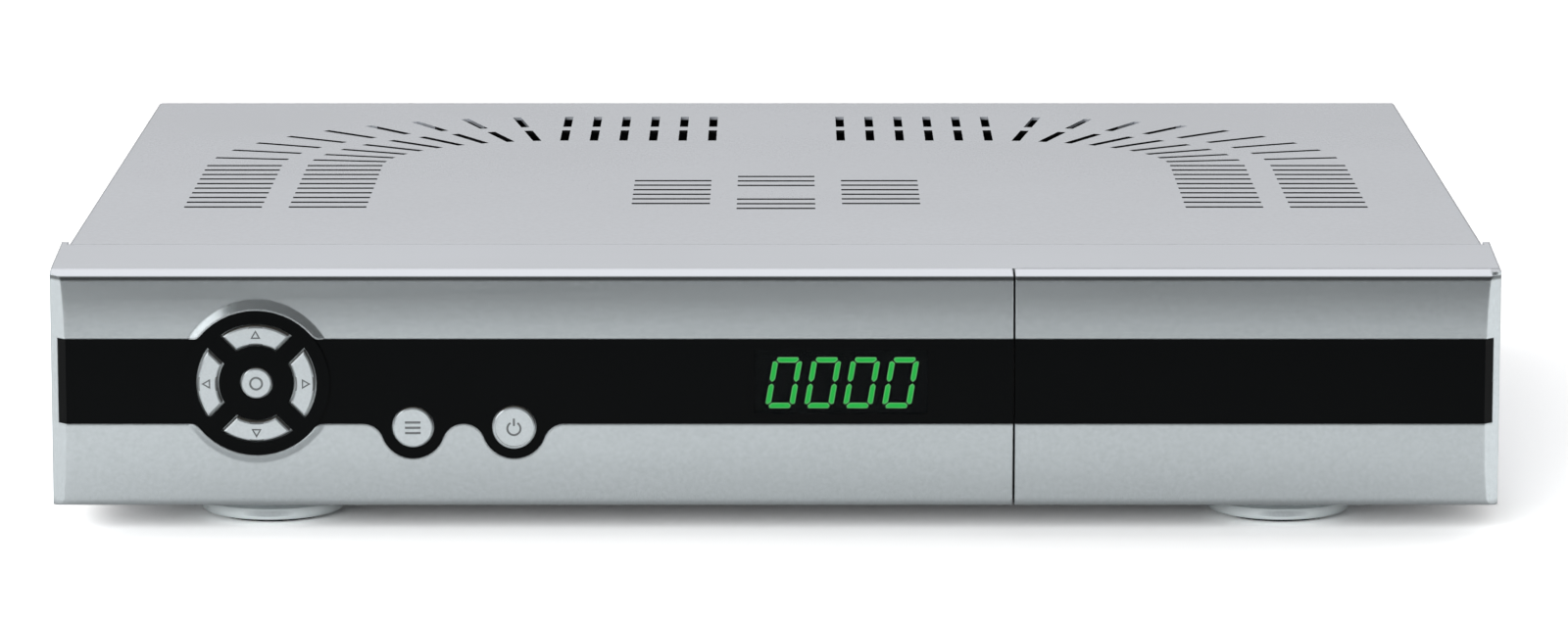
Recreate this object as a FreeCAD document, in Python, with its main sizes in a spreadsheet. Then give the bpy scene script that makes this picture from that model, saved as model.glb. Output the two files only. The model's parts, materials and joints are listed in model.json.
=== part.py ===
"""Satellite television receiver, built as a bench-top assembly of separate parts.

Millimetres. X runs across the front, Y from the front plane towards the rear sockets
and Z up. Inside this file heights are counted from the underside of the front panel
and depths from the front plane; every body is then placed so that the origin lies on
the floor, under the middle of the receiver.
"""

import FreeCAD, Part
import math
import os
import re
import Sketcher

DOCUMENT = FreeCAD.newDocument("SatelliteReceiver")
SHEET = DOCUMENT.addObject("Spreadsheet::Sheet", "Sizes")

# Driving dimensions: name, millimetres (or degrees, or a count), what it is.
DIMENSIONS = [
    # overall shape of the front
    ("panel_half", 170.0, "half width of the bezel at its rear edge"),
    ("front_half", 168.45, "half width at the front corner line"),
    ("panel_high", 55.0, "height of the front panel"),
    ("foot_high", 8.0, "floor to the underside of the panel"),
    ("bezel_deep", 47.8, "depth of the bezel's side walls"),
    ("facet_run", 3.8, "width of the end facets, seen from the front"),
    ("facet_deep", 4.0, "depth of the end facets"),
    ("wrap_run", 2.0, "how far the dark strip goes round onto a facet"),
    ("brow_back", 0.23, "set-back of the face just above the dark strip"),
    ("brow_radius", 119.3, "profile radius of the face above the strip"),
    ("brow_tilt", 7.0, "tilt of the face where the nose begins"),
    ("nose_round", 1.24, "rounding between the face and the sloping top edge"),
    ("slope_tilt", 9.2, "fall of the top edge where it leaves the nose"),
    ("slope_front", 2.15, "depth where the top edge leaves the nose"),
    ("slope_back", 7.7, "depth where the top edge becomes level"),
    ("slope_drop", 0.73, "fall of the top edge down to the nose"),
    ("slope_radius", 60.0, "profile radius of the top edge"),
    ("chin_step", 0.1, "set-back of the face just below the dark strip"),
    ("chin_radius", 203.0, "profile radius of the face below the strip"),
    ("chin_tilt", 5.0, "tilt of the face where the bottom rounding begins"),
    ("bottom_round", 2.2, "rounding between the face and the underside"),
    ("bottom_back", 3.06, "depth where the bottom rounding ends"),
    ("hinge_back", 5.3, "depth of the flap's hinge line"),
    ("hinge_round", 3.4, "height of the hinge line and radius of the flap's barrel"),
    ("band_low", 19.7, "lower edge of the dark strip"),
    ("band_high", 39.7, "upper edge of the dark strip"),
    ("window_thick", 1.6, "thickness of the dark strip"),
    ("recess_deep", 1.65, "depth of the pocket that the strip is bonded into"),
    ("seam", 0.1, "fitting gap round the strip"),
    # keypad and keys
    ("keypad_x", -120.4, "middle of the navigation keypad"),
    ("keypad_z", 29.5, "height of the keypad and of the display"),
    ("disc_radius", 17.05, "round dark disc behind the arrow keys"),
    ("disc_proud", 0.8, "disc standing out of the strip"),
    ("disc_fillet", 2.4, "fillet where disc meets strip"),
    ("collar_lip", 0.3, "flat lip of the silver collar"),
    ("collar_front", 1.0, "collar standing out of the front plane"),
    ("collar_root", 3.0, "depth where the collar is lost in the wall"),
    ("collar_slope", 1.25, "collar widening for each unit of depth"),
    ("arrow_inner", 9.2, "inner radius of an arrow key"),
    ("arrow_outer", 13.45, "outer radius of an arrow key"),
    ("arrow_edge", 2.5, "arrow key edge from the diagonal"),
    ("key_gap", 0.5, "gap round an arrow key"),
    ("key_proud", 1.9, "arrow keys standing out of the front plane"),
    ("key_seat", 11.4, "arrow switch from the keypad's middle"),
    ("key_chamfer", 0.35, "broken edge of the key caps"),
    ("ok_radius", 3.55, "radius of the centre key"),
    ("ok_proud", 1.4, "centre key standing out of the front plane"),
    ("menu_x", -84.2, "middle of the menu key"),
    ("menu_radius", 4.65, "radius of the menu key"),
    ("menu_proud", 0.9, "menu key standing out"),
    ("power_x", -60.7, "middle of the standby key"),
    ("power_radius", 4.92, "radius of the standby key"),
    ("power_proud", 1.4, "standby key standing out"),
    ("round_key_z", 19.0, "height of the menu and standby keys"),
    ("round_gap", 0.25, "gap round a round key"),
    ("lobe_radius", 7.5, "dark lobe round each round key"),
    ("lobe_fillet", 4.9, "fillet where lobe meets strip"),
    ("flange_grow", 0.85, "retaining flange beyond the key's edge"),
    ("flange_front", 1.7, "front of the retaining flanges"),
    ("flange_back", 2.7, "back of the retaining flanges"),
    ("stem_wide", 3.5, "side of a key's square stem"),
    ("stem_end", 6.4, "depth of the stem's end"),
    ("bore_gap", 0.06, "radial gap round a stem or pin"),
    ("switch_size", 6.0, "side of a key switch"),
    ("switch_front", 5.3, "front of the key switches"),
    ("switch_floor", 7.0, "depth of the bore in a key switch"),
    # display
    ("display_x", 15.2, "middle of the display"),
    ("display_wide", 41.0, "width of the display module"),
    ("display_tall", 16.0, "height of the display module"),
    ("display_front", 1.9, "front face of the display module"),
    ("digit_pitch", 9.05, "spacing of the digits"),
    ("digit_tall", 12.6, "height of a digit"),
    ("digit_wide", 6.3, "width of a digit"),
    ("segment_wide", 1.35, "width of a segment"),
    ("segment_gap", 0.2, "gap between segments"),
    ("digit_slant", 10.0, "lean of the digits"),
    ("segment_deep", 0.2, "thickness of a segment"),
    ("digits", 4, "number of digits"),
    # bezel inside
    ("face_inner", 4.2, "back of the bezel's front wall"),
    ("board_front", 9.0, "front of the front board"),
    ("board_thick", 1.6, "thickness of every circuit board"),
    ("bezel_wall", 2.0, "bezel wall at the top"),
    ("bezel_floor", 2.5, "bezel wall at the bottom"),
    ("bezel_inner_front", 163.5, "half width of the cavity behind the facets"),
    ("bezel_inner_mid", 166.5, "half width of the cavity in front of the tray"),
    ("bezel_inner_rear", 167.5, "half width of the cavity round the tray"),
    ("tray_front", 17.2, "front edge of the base tray"),
    ("lid_front", 44.0, "front edge of the cover"),
    ("ledge", 1.0, "thickness of the ledge under the cover's edge"),
    # flap and bay
    ("bezel_edge", 55.15, "right edge of the fixed face"),
    ("flap_edge", 55.65, "left edge of the flap"),
    ("flap_inner", 4.0, "back of the flap's wall"),
    ("flap_lip", 8.0, "depth of the flap's top lip and end return"),
    ("flap_wall", 2.2, "thickness of the lip and of the end return"),
    ("flap_gap", 0.4, "gap between flap and bezel"),
    ("bay_floor", 5.0, "height of the bay's floor"),
    ("bay_roof", 52.5, "height of the bay's roof"),
    ("bay_right", 166.0, "right side of the bay"),
    ("bay_wall", 12.0, "front of the bay's rear wall"),
    ("bay_back", 14.0, "back of the bay's rear wall"),
    ("ear_left", 57.9, "left side of the left hinge ear"),
    ("ear_right", 161.5, "left side of the right hinge ear"),
    ("ear_wide", 3.0, "width of a hinge ear"),
    ("ear_radius", 2.3, "radius of a hinge ear"),
    ("ear_gap", 0.3, "gap between ear and flap"),
    ("ear_top", 7.8, "height of an ear's arm"),
    ("pin_radius", 1.2, "radius of the moulded hinge pins"),
    ("tongue_x", 111.0, "middle of the flap's catch tongue"),
    ("tongue_wide", 6.0, "width of the tongue"),
    ("tongue_low", 47.0, "underside of the tongue"),
    ("tongue_thick", 1.6, "thickness of the tongue"),
    ("tongue_end", 13.0, "depth of the tongue's end"),
    ("catch_gap", 0.8, "gap round the tongue in its slot"),
    # card and module bay
    ("slot_x", 88.0, "middle of the module and card slots"),
    ("slot_wide", 55.2, "width of the slots"),
    ("module_slot_tall", 5.6, "height of a module slot"),
    ("module_low", 11.7, "floor of the lower module slot"),
    ("module_pitch", 8.5, "spacing of the two module slots"),
    ("card_slot_tall", 1.8, "height of a card slot"),
    ("card_low", 31.4, "floor of the lower card slot"),
    ("card_pitch", 7.0, "spacing of the two card slots"),
    ("cage_wide", 59.0, "width of the module cage"),
    ("cage_front", 14.2, "front of the cage"),
    ("cage_back", 86.0, "back of the cage"),
    ("cage_top", 28.2, "top of the cage"),
    ("reader_top", 43.6, "top of the card readers"),
    ("reader_back", 75.0, "back of the card readers"),
    ("front_usb_x", 135.0, "middle of the front data socket"),
    # cover
    ("cover_half", 168.2, "half width of the cover"),
    ("cover_back", 289.6, "rear edge of the cover"),
    ("cover_sheet", 0.8, "thickness of the cover"),
    ("cover_bend", 1.0, "outer bend radius of the cover"),
    ("cover_low", 0.2, "lower edge of the cover's sides"),
    ("fan_x", 55.6, "centre of a fan of vents from the middle"),
    ("fan_y", 172.5, "depth of the fan centres"),
    ("fan_inner", 45.1, "inner radius of the fans"),
    ("vent_long", 19.1, "length of a vent"),
    ("vent_between", 6.6, "web between the two rows"),
    ("vent_wide", 2.2, "width of a vent"),
    ("vent_pitch", 7.75, "spacing of the straight vents"),
    ("vent_turn", 9.0, "turn from one fan vent to the next"),
    ("mid_vent_inner", 16.3, "inner end of the outer middle vents"),
    ("mid_vent_outer", 35.6, "outer end of the outer middle vents"),
    ("mid_vent_y", 146.4, "rearmost outer middle vent"),
    ("mid_vent_pitch", 7.6, "spacing of the middle vents"),
    ("core_vent_half", 9.67, "half length of the central vents"),
    ("core_vent_y", 153.6, "rearmost central vent"),
    ("cover_flange", 7.0, "height of the cover's rear flange"),
    ("cover_flange_half", 150.0, "half width of the rear flange"),
    # tray, rear panel and feet
    ("tray_half", 167.3, "half width of the tray"),
    ("tray_sheet", 0.8, "thickness of the tray"),
    ("tray_flange", 12.0, "height of the tray's flanges"),
    ("rear_face", 288.6, "outer face of the rear panel"),
    ("rear_sheet", 1.0, "thickness of the rear panel"),
    ("rear_half", 166.4, "half width of the rear panel"),
    ("foot_x", 119.5, "feet from the middle"),
    ("foot_front", 36.0, "depth of the front feet"),
    ("foot_rear", 254.0, "depth of the rear feet"),
    ("foot_radius", 17.0, "radius of a foot"),
    ("foot_neck", 13.5, "radius of the neck of a foot"),
    ("foot_rim", 3.6, "underside of the panel to the rim of a foot"),
    ("foot_edge", 0.8, "rounded lower edge of a foot"),
    ("pad_radius", 13.0, "radius of a rubber pad"),
    ("pad_thick", 1.0, "thickness of a rubber pad"),
    # boards
    ("standoff", 6.0, "height of the board standoffs"),
    ("standoff_radius", 3.0, "radius of a standoff"),
    ("main_left", -86.0, "left edge of the main board"),
    ("main_right", 162.0, "right edge of the main board"),
    ("main_front", 60.0, "front edge of the main board"),
    ("main_nose", 20.0, "front edge of the board under the bay"),
    ("main_nose_left", 54.0, "left edge of the board under the bay"),
    ("main_back", 284.0, "rear edge of both boards"),
    ("supply_left", -163.0, "left edge of the supply board"),
    ("supply_right", -92.0, "right edge of the supply board"),
    ("supply_front", 130.0, "front edge of the supply board"),
    # screws
    ("screw_radius", 1.4, "shank of every case screw"),
    ("screw_hole", 1.6, "clearance hole for a case screw"),
    ("pilot", 1.5, "pilot hole for a case screw"),
    ("head_radius", 2.7, "head of every case screw"),
    ("head_thick", 1.5, "height of a screw head"),
    # rear sockets
    ("rear_reach", 299.6, "rearmost point, the ends of the aerial sockets"),
    ("tuner_wide", 40.0, "width of a tuner can"),
    ("tuner_front", 230.0, "front of the tuner cans"),
    ("tuner_back", 287.2, "back of the tuner cans"),
    ("tuner_tall", 14.0, "height of the tuner cans"),
    ("tuner_one", -86.0, "left side of the first tuner"),
    ("tuner_two", -40.0, "left side of the second tuner"),
    ("aerial_half", 10.0, "aerial sockets from the middle of their tuner"),
    ("aerial_z", 15.4, "height of the aerial sockets"),
    ("aerial_radius", 4.7, "thread radius of an aerial socket"),
    ("aerial_nut", 6.35, "radius across the corners of its nut"),
    ("aerial_nut_thick", 2.2, "thickness of its nut"),
    ("rca_x", 79.0, "first column of cinch sockets"),
    ("rca_z", 16.0, "lower row of cinch sockets"),
    ("rca_pitch", 14.0, "spacing of the cinch sockets"),
    ("rca_radius", 4.15, "radius of a cinch sleeve"),
    ("rca_reach", 9.0, "cinch sleeve standing out of the panel"),
    ("rca_ring", 2.4, "thickness of the coloured ring round a sleeve"),
    ("scart_x", 139.0, "middle of the video sockets"),
    ("scart_z", 17.3, "height of the lower video socket"),
    ("scart_pitch", 20.0, "spacing of the two video sockets"),
    ("scart_wide", 49.0, "width of a video socket"),
    ("scart_tall", 17.0, "height of a video socket"),
    ("inlet_x", -140.0, "middle of the mains inlet"),
    ("rocker_x", -108.0, "middle of the mains rocker"),
    ("mains_z", 22.0, "height of inlet and rocker"),
    ("rocker_tilt", 7.0, "lean of the rocker to either side"),
]

ALIASES = set(name for name, value, note in DIMENSIONS)
WORD = re.compile(r"[a-z][a-z_]*")

# Heights of the board tops, kept as formulas because three stacks share them.
BOARD_LOW = "tray_sheet + standoff"
BOARD_TOP = "tray_sheet + standoff + board_thick"

SUB_PARTS = []


def fill_sheet():
    """Write the driving dimensions into the sheet, one row each."""
    for row, (name, value, note) in enumerate(DIMENSIONS, start=1):
        SHEET.set("A%d" % row, note)
        SHEET.set("B%d" % row, str(value))
        SHEET.setAlias("B%d" % row, name)
    DOCUMENT.recompute()


def linked(formula):
    """A formula in sheet names, written as the document's expressions need it."""
    def prefix(found):
        word = found.group()
        return "Sizes." + word if word in ALIASES else word
    return WORD.sub(prefix, str(formula))


def size(formula):
    """The value of a formula in millimetres."""
    value = SHEET.evalExpression(str(formula))
    return float(getattr(value, "Value", value))


def bind(item, path, formula):
    item.setExpression(path, linked(formula))


def around(middle, width):
    """Low and high limits of a width centred on a place."""
    return "(%s) - (%s) / 2" % (middle, width), "(%s) + (%s) / 2" % (middle, width)


def sub_part(label):
    """A body of its own, moved as a whole from panel to floor coordinates."""
    body = DOCUMENT.addObject("PartDesign::Body", label)
    body.Label = label
    bind(body, ".Placement.Base.y", "-(rear_reach - key_proud) / 2")
    bind(body, ".Placement.Base.z", "foot_high")
    SUB_PARTS.append(body)
    return body


def place(item, x, y, z, path=".Placement.Base"):
    start = [size(x), size(y), size(z)]
    placement = FreeCAD.Placement(item.Placement)
    placement.Base = FreeCAD.Vector(*start)
    item.Placement = placement
    for axis, formula in zip("xyz", (x, y, z)):
        bind(item, path + "." + axis, formula)


def block(body, name, x, y, z, cut=False):
    """A rectangular block between (low, high) limits along each axis."""
    kind = "SubtractiveBox" if cut else "AdditiveBox"
    item = body.newObject("PartDesign::" + kind, name)
    for side, (low, high) in zip(("Length", "Width", "Height"), (x, y, z)):
        bind(item, side, "(%s) - (%s)" % (high, low))
    place(item, x[0], y[0], z[0])
    return item


TURNS = {
    "x": FreeCAD.Rotation(FreeCAD.Vector(0, 1, 0), 90),
    "y": FreeCAD.Rotation(FreeCAD.Vector(1, 0, 0), -90),
    "z": FreeCAD.Rotation(),
}


def rod(body, name, along, limits, centre, radius, cut=False, sides=0):
    """A cylinder along an axis; centre holds the other two coordinates in order. With a
    number of sides it is a prism instead, which keeps small repeated details plain."""
    kind = "Prism" if sides else "Cylinder"
    action = "Subtractive" if cut else "Additive"
    item = body.newObject("PartDesign::" + action + kind, name)
    item.Placement = FreeCAD.Placement(FreeCAD.Vector(), TURNS[along])
    if sides:
        item.Polygon = sides
    bind(item, "Circumradius" if sides else "Radius", radius)
    bind(item, "Height", "(%s) - (%s)" % (limits[1], limits[0]))
    where = list(centre)
    where.insert("xyz".index(along), limits[0])
    place(item, *where)
    return item


def sketch_on(body, name, plane, level, origin=("0", "0"), turn=0):
    """A sketch on one of the body's own planes, moved along the plane's normal axis."""
    sketch = body.newObject("Sketcher::SketchObject", name)
    role = plane + "_Plane"
    support = [item for item in body.Origin.OriginFeatures if item.Role == role][0]
    sketch.AttachmentSupport = (support, [""])
    sketch.MapMode = "FlatFace"
    spin = FreeCAD.Rotation(FreeCAD.Vector(0, 0, 1), turn)
    depth = "-(%s)" % level if plane == "XZ" else level
    offset = [origin[0], origin[1], depth]
    sketch.AttachmentOffset = FreeCAD.Placement(
        FreeCAD.Vector(*[size(value) for value in offset]), spin)
    for axis, formula in zip("xyz", offset):
        bind(sketch, ".AttachmentOffset.Base." + axis, formula)
    return sketch


def arc_between(start, end, radius, side):
    """The short arc from start to end that bulges to the left (1) or right (-1). It is
    always laid down anticlockwise, so a left-hand bulge runs from end to start."""
    chord = end - start
    half = chord.Length / 2
    sagitta = radius - math.sqrt(max(radius * radius - half * half, 0))
    normal = FreeCAD.Vector(-chord.y, chord.x, 0).normalize()
    middle = (start + end) / 2 + normal * (side * sagitta)
    if side > 0:
        return Part.Arc(end, middle, start)
    return Part.Arc(start, middle, end)


def trace(sketch, corners):
    """Draw one closed outline. A corner is (across, up) when the edge that leaves it
    is straight, or (across, up, radius, side) when it is an arc."""
    count = len(corners)
    points = [FreeCAD.Vector(size(c[0]), size(c[1]), 0) for c in corners]
    reversed_ends = []
    first = sketch.GeometryCount
    for index, corner in enumerate(corners):
        start = points[index]
        end = points[(index + 1) % count]
        if len(corner) == 2:
            sketch.addGeometry(Part.LineSegment(start, end), False)
            reversed_ends.append(False)
            continue
        sketch.addGeometry(arc_between(start, end, size(corner[2]), corner[3]), False)
        reversed_ends.append(corner[3] > 0)
    for index, corner in enumerate(corners):
        following = (index + 1) % count
        tail = 1 if reversed_ends[index] else 2
        head = 2 if reversed_ends[following] else 1
        own_head = 2 if reversed_ends[index] else 1
        sketch.addConstraint(
            Sketcher.Constraint("Coincident", first + index, tail, first + following, head))
        for kind, value, formula in (
                ("DistanceX", points[index].x, corner[0]),
                ("DistanceY", points[index].y, corner[1])):
            number = sketch.addConstraint(
                Sketcher.Constraint(kind, -1, 1, first + index, own_head, value))
            bind(sketch, "Constraints[%d]" % number, formula)
        if len(corner) > 2:
            number = sketch.addConstraint(
                Sketcher.Constraint("Radius", first + index, size(corner[2])))
            bind(sketch, "Constraints[%d]" % number, corner[2])


def pull(body, sketch, name, length, cut):
    """Pad a sketch along its normal, or pocket it against its normal."""
    kind = "Pocket" if cut else "Pad"
    item = body.newObject("PartDesign::" + kind, name)
    item.Profile = sketch
    bind(item, "Length", length)
    return item


def extrude(body, name, plane, limits, outlines, cut=False, origin=("0", "0"), turn=0):
    """Extrude one or more closed outlines between two levels of a plane's third axis."""
    low, high = limits
    backwards = plane == "XZ"
    level = low if cut == backwards else high
    sketch = sketch_on(body, name + "_outline", plane, level, origin, turn)
    for outline in outlines:
        trace(sketch, outline)
    return pull(body, sketch, name, "(%s) - (%s)" % (high, low), cut)


def lathe(body, name, centre, corners):
    """Turn an outline of (along, radius) corners about an axis parallel to Y."""
    sketch = sketch_on(body, name + "_outline", "YZ", centre[0], ("0", centre[1]))
    trace(sketch, corners)
    item = body.newObject("PartDesign::Revolution", name)
    item.Profile = sketch
    item.ReferenceAxis = (sketch, ["H_Axis"])
    item.Angle = 360


def pattern(body, name, kind, original, reference, count, step, backwards=False):
    """Repeat a feature in a row along, or in a fan about, an axis of a sketch."""
    DOCUMENT.recompute()
    item = body.newObject("PartDesign::" + kind, name)
    item.Originals = [original]
    if kind == "LinearPattern":
        item.Direction = reference
    else:
        item.Axis = reference
    item.Mode = "Spacing"
    item.Reversed = backwards
    bind(item, "Occurrences", count)
    bind(item, "Offset", step)
    body.Tip = item
    DOCUMENT.recompute()
    return item


def break_edges(body, name, feature, length, wanted):
    """Chamfer the edges round every face that the test picks."""
    DOCUMENT.recompute()
    faces = []
    for number, face in enumerate(feature.Shape.Faces, start=1):
        if wanted(face):
            faces.append("Face%d" % number)
    item = body.newObject("PartDesign::Chamfer", name)
    item.Base = (feature, faces)
    bind(item, "Size", length)
    return item


def rectangle(across, up):
    return [(across[0], up[0]), (across[1], up[0]), (across[1], up[1]), (across[0], up[1])]


# ---------------------------------------------------------------- front panel outlines

FACET_IN = "(front_half - facet_run)"
FACET_LONG = "sqrt(facet_run^2 + facet_deep^2)"


def face_profile():
    """Side view of the face, from the underside up over the nose to the level top."""
    return [
        ("hinge_back", "0"),
        ("bottom_back", "0", "bottom_round", 1),
        ("bottom_back - bottom_round * cos(chin_tilt)",
         "bottom_round - bottom_round * sin(chin_tilt)", "chin_radius", 1),
        ("chin_step", "band_low"),
        ("brow_back", "band_high", "brow_radius", 1),
        ("slope_front + nose_round * (sin(slope_tilt) - cos(brow_tilt))",
         "panel_high - slope_drop - nose_round * (cos(slope_tilt) - sin(brow_tilt))",
         "nose_round", 1),
        ("slope_front", "panel_high - slope_drop", "slope_radius", 1),
        ("slope_back", "panel_high"),
    ]


def strip_plan(side, end, thick, grow):
    """Plan of the dark strip: flat across the face, bent round one end facet."""
    bend = "%s - (%s) * tan(atan(facet_deep / facet_run) / 2)" % (FACET_IN, thick)
    run = "(wrap_run + %s)" % grow
    tip_x = "%s + %s" % (FACET_IN, run)
    tip_y = "%s * facet_deep / facet_run" % run
    corners = [
        (end, "0"),
        ("%d * %s" % (side, FACET_IN), "0"),
        ("%d * (%s)" % (side, tip_x), tip_y),
        ("%d * (%s - (%s) * facet_deep / %s)" % (side, tip_x, thick, FACET_LONG),
         "%s + (%s) * facet_run / %s" % (tip_y, thick, FACET_LONG)),
        ("%d * (%s)" % (side, bend), thick),
        (end, thick),
    ]
    return corners


def bulge(centre, height, radius, fillet, line, above):
    """Corners where a round bulge leaves a straight edge and comes back to it.
    They run left to right below a line, and right to left above it."""
    side = 1 if above else -1
    rise = "(%s + %d * %s - (%s))" % (line, side, fillet, height)
    reach = "sqrt((%s + %s)^2 - %s^2)" % (radius, fillet, rise)
    share = "(%s) / (%s + %s)" % (radius, radius, fillet)
    first = "+" if above else "-"
    last = "-" if above else "+"
    touch_z = "%s + %s * %s" % (height, rise, share)
    return [
        ("%s %s %s" % (centre, first, reach), line, fillet, 1),
        ("%s %s %s * %s" % (centre, first, reach, share), touch_z, radius, -1),
        ("%s %s %s * %s" % (centre, last, reach, share), touch_z, fillet, 1),
        ("%s %s %s" % (centre, last, reach), line),
    ]


def window_outline(left, right, shrink):
    """Front view of the left-hand dark strip with its disc and its two key lobes."""
    low = "(band_low + %s)" % shrink
    high = "(band_high - %s)" % shrink
    disc = "(disc_radius - %s)" % shrink
    disc_fillet = "(disc_fillet + %s)" % shrink
    lobe = "(lobe_radius - %s)" % shrink
    lobe_fillet = "(lobe_fillet + %s)" % shrink
    corners = [(left, low)]
    corners += bulge("keypad_x", "keypad_z", disc, disc_fillet, low, False)
    corners += bulge("menu_x", "round_key_z", lobe, lobe_fillet, low, False)
    corners += bulge("power_x", "round_key_z", lobe, lobe_fillet, low, False)
    corners += [(right, low), (right, high)]
    corners += bulge("keypad_x", "keypad_z", disc, disc_fillet, high, True)
    corners += [(left, high)]
    return corners


def arrow_outline(inner, outer, edge):
    """A ring segment between two diagonals, seen from its keypad's middle."""
    def corner(radius, sign):
        along = "sqrt((%s)^2 - (%s)^2)" % (radius, edge)
        across = "%d * (%s - (%s)) / sqrt(2)" % (sign, along, edge)
        return across, "(%s + (%s)) / sqrt(2)" % (along, edge)
    return [
        corner(inner, 1),
        corner(outer, 1) + (outer, -1),
        corner(outer, -1),
        corner(inner, -1) + (inner, 1),
    ]


# ---------------------------------------------------------------- front panel


def make_front_bezel():
    """Moulded front: faceted ends, curved face, keypad collar and the flap's bay."""
    bezel = sub_part("front_bezel")
    extrude(bezel, "plan", "XY", ("0", "panel_high"), [[
        ("-" + FACET_IN, "0"), (FACET_IN, "0"), ("front_half", "facet_deep"),
        ("panel_half", "bezel_deep"), ("-panel_half", "bezel_deep"),
        ("-front_half", "facet_deep")]])
    clear = "2 * facet_deep"
    extrude(bezel, "face", "YZ", ("-panel_half - 1", "panel_half + 1"), [
        face_profile() + [
            ("slope_back", "panel_high + " + clear), ("-(%s)" % clear, "panel_high + " + clear),
            ("-(%s)" % clear, "-(%s)" % clear), ("hinge_back", "-(%s)" % clear)]], cut=True)
    lip = "(disc_radius + collar_lip)"
    lathe(bezel, "collar", ("keypad_x", "keypad_z"), [
        ("-collar_front", "disc_radius - 1"), ("collar_root", "disc_radius - 1"),
        ("collar_root", lip + " + collar_slope * (collar_root + collar_front)"),
        ("-collar_front", lip)])
    extrude(bezel, "strip_recess", "XZ", ("-facet_deep", "recess_deep"), [
        window_outline("-" + FACET_IN, "bezel_edge", "0")], cut=True)
    extrude(bezel, "strip_wrap", "XY", ("band_low", "band_high"), [
        strip_plan(-1, "-%s + 5" % FACET_IN, "recess_deep", "seam")], cut=True)
    hollow_bezel(bezel)
    open_bay(bezel)
    pierce_bezel(bezel)
    return bezel


def hollow_bezel(bezel):
    """Clear the inside from behind, in steps that leave the facets and the bay walls."""
    top = "panel_high - bezel_wall"
    partition = "bezel_edge - flap_wall"
    block(bezel, "cavity_front", ("-bezel_inner_front", partition),
          ("face_inner", "board_front"), ("bezel_floor", top), cut=True)
    block(bezel, "cavity_board", ("-bezel_inner_mid", partition),
          ("board_front", "bay_back"), ("bezel_floor", top), cut=True)
    block(bezel, "cavity_mid", ("-bezel_inner_mid", "bezel_inner_mid"),
          ("bay_back", "tray_front"), ("bezel_floor", top), cut=True)
    block(bezel, "cavity_rear", ("-bezel_inner_rear", "bezel_inner_rear"),
          ("tray_front - seam", "bezel_deep"), ("-1", top), cut=True)
    block(bezel, "cover_seat_sides", ("-cover_half - seam", "cover_half + seam"),
          ("lid_front", "bezel_deep"), ("-1", top), cut=True)
    block(bezel, "cover_seat_top", ("-cover_half - seam", "cover_half + seam"),
          ("lid_front", "bezel_deep"),
          ("panel_high - cover_sheet - seam", "panel_high + 1"), cut=True)
    for side, sign in (("left", -1), ("right", 1)):
        limits = sorted(("%d * (cover_half + seam)" % sign,
                         "%d * (cover_half - cover_bend - cover_sheet)" % sign), key=size)
        block(bezel, "cover_corner_" + side, limits, ("lid_front", "bezel_deep"),
              (top + " - ledge", "panel_high"), cut=True)


def open_bay(bezel):
    """Cut away the flap's share of the face and sink the bay behind it."""
    right = "panel_half + 1"
    block(bezel, "flap_space", ("bezel_edge", right), ("-facet_deep", "flap_lip + flap_gap"),
          ("-1", "panel_high + 1"), cut=True)
    block(bezel, "barrel_space", ("bezel_edge", right), ("0", "hinge_back + hinge_round + flap_gap"),
          ("-1", "2 * hinge_round + flap_gap"), cut=True)
    block(bezel, "bay", ("bezel_edge", "bay_right"), ("flap_lip", "bay_wall"),
          ("bay_floor", "bay_roof"), cut=True)
    for name, left in (("left", "ear_left"), ("right", "ear_right")):
        limits = (left, left + " + ear_wide")
        rod(bezel, "ear_" + name, "x", limits, ("hinge_back", "hinge_round"), "ear_radius", sides=12)
        block(bezel, "ear_arm_" + name, limits, ("hinge_back - ear_gap", "bay_wall + 0.5"),
              ("hinge_round + flap_gap", "ear_top"))
        rod(bezel, "ear_bore_" + name, "x", limits, ("hinge_back", "hinge_round"),
            "pin_radius + bore_gap", cut=True, sides=12)


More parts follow.
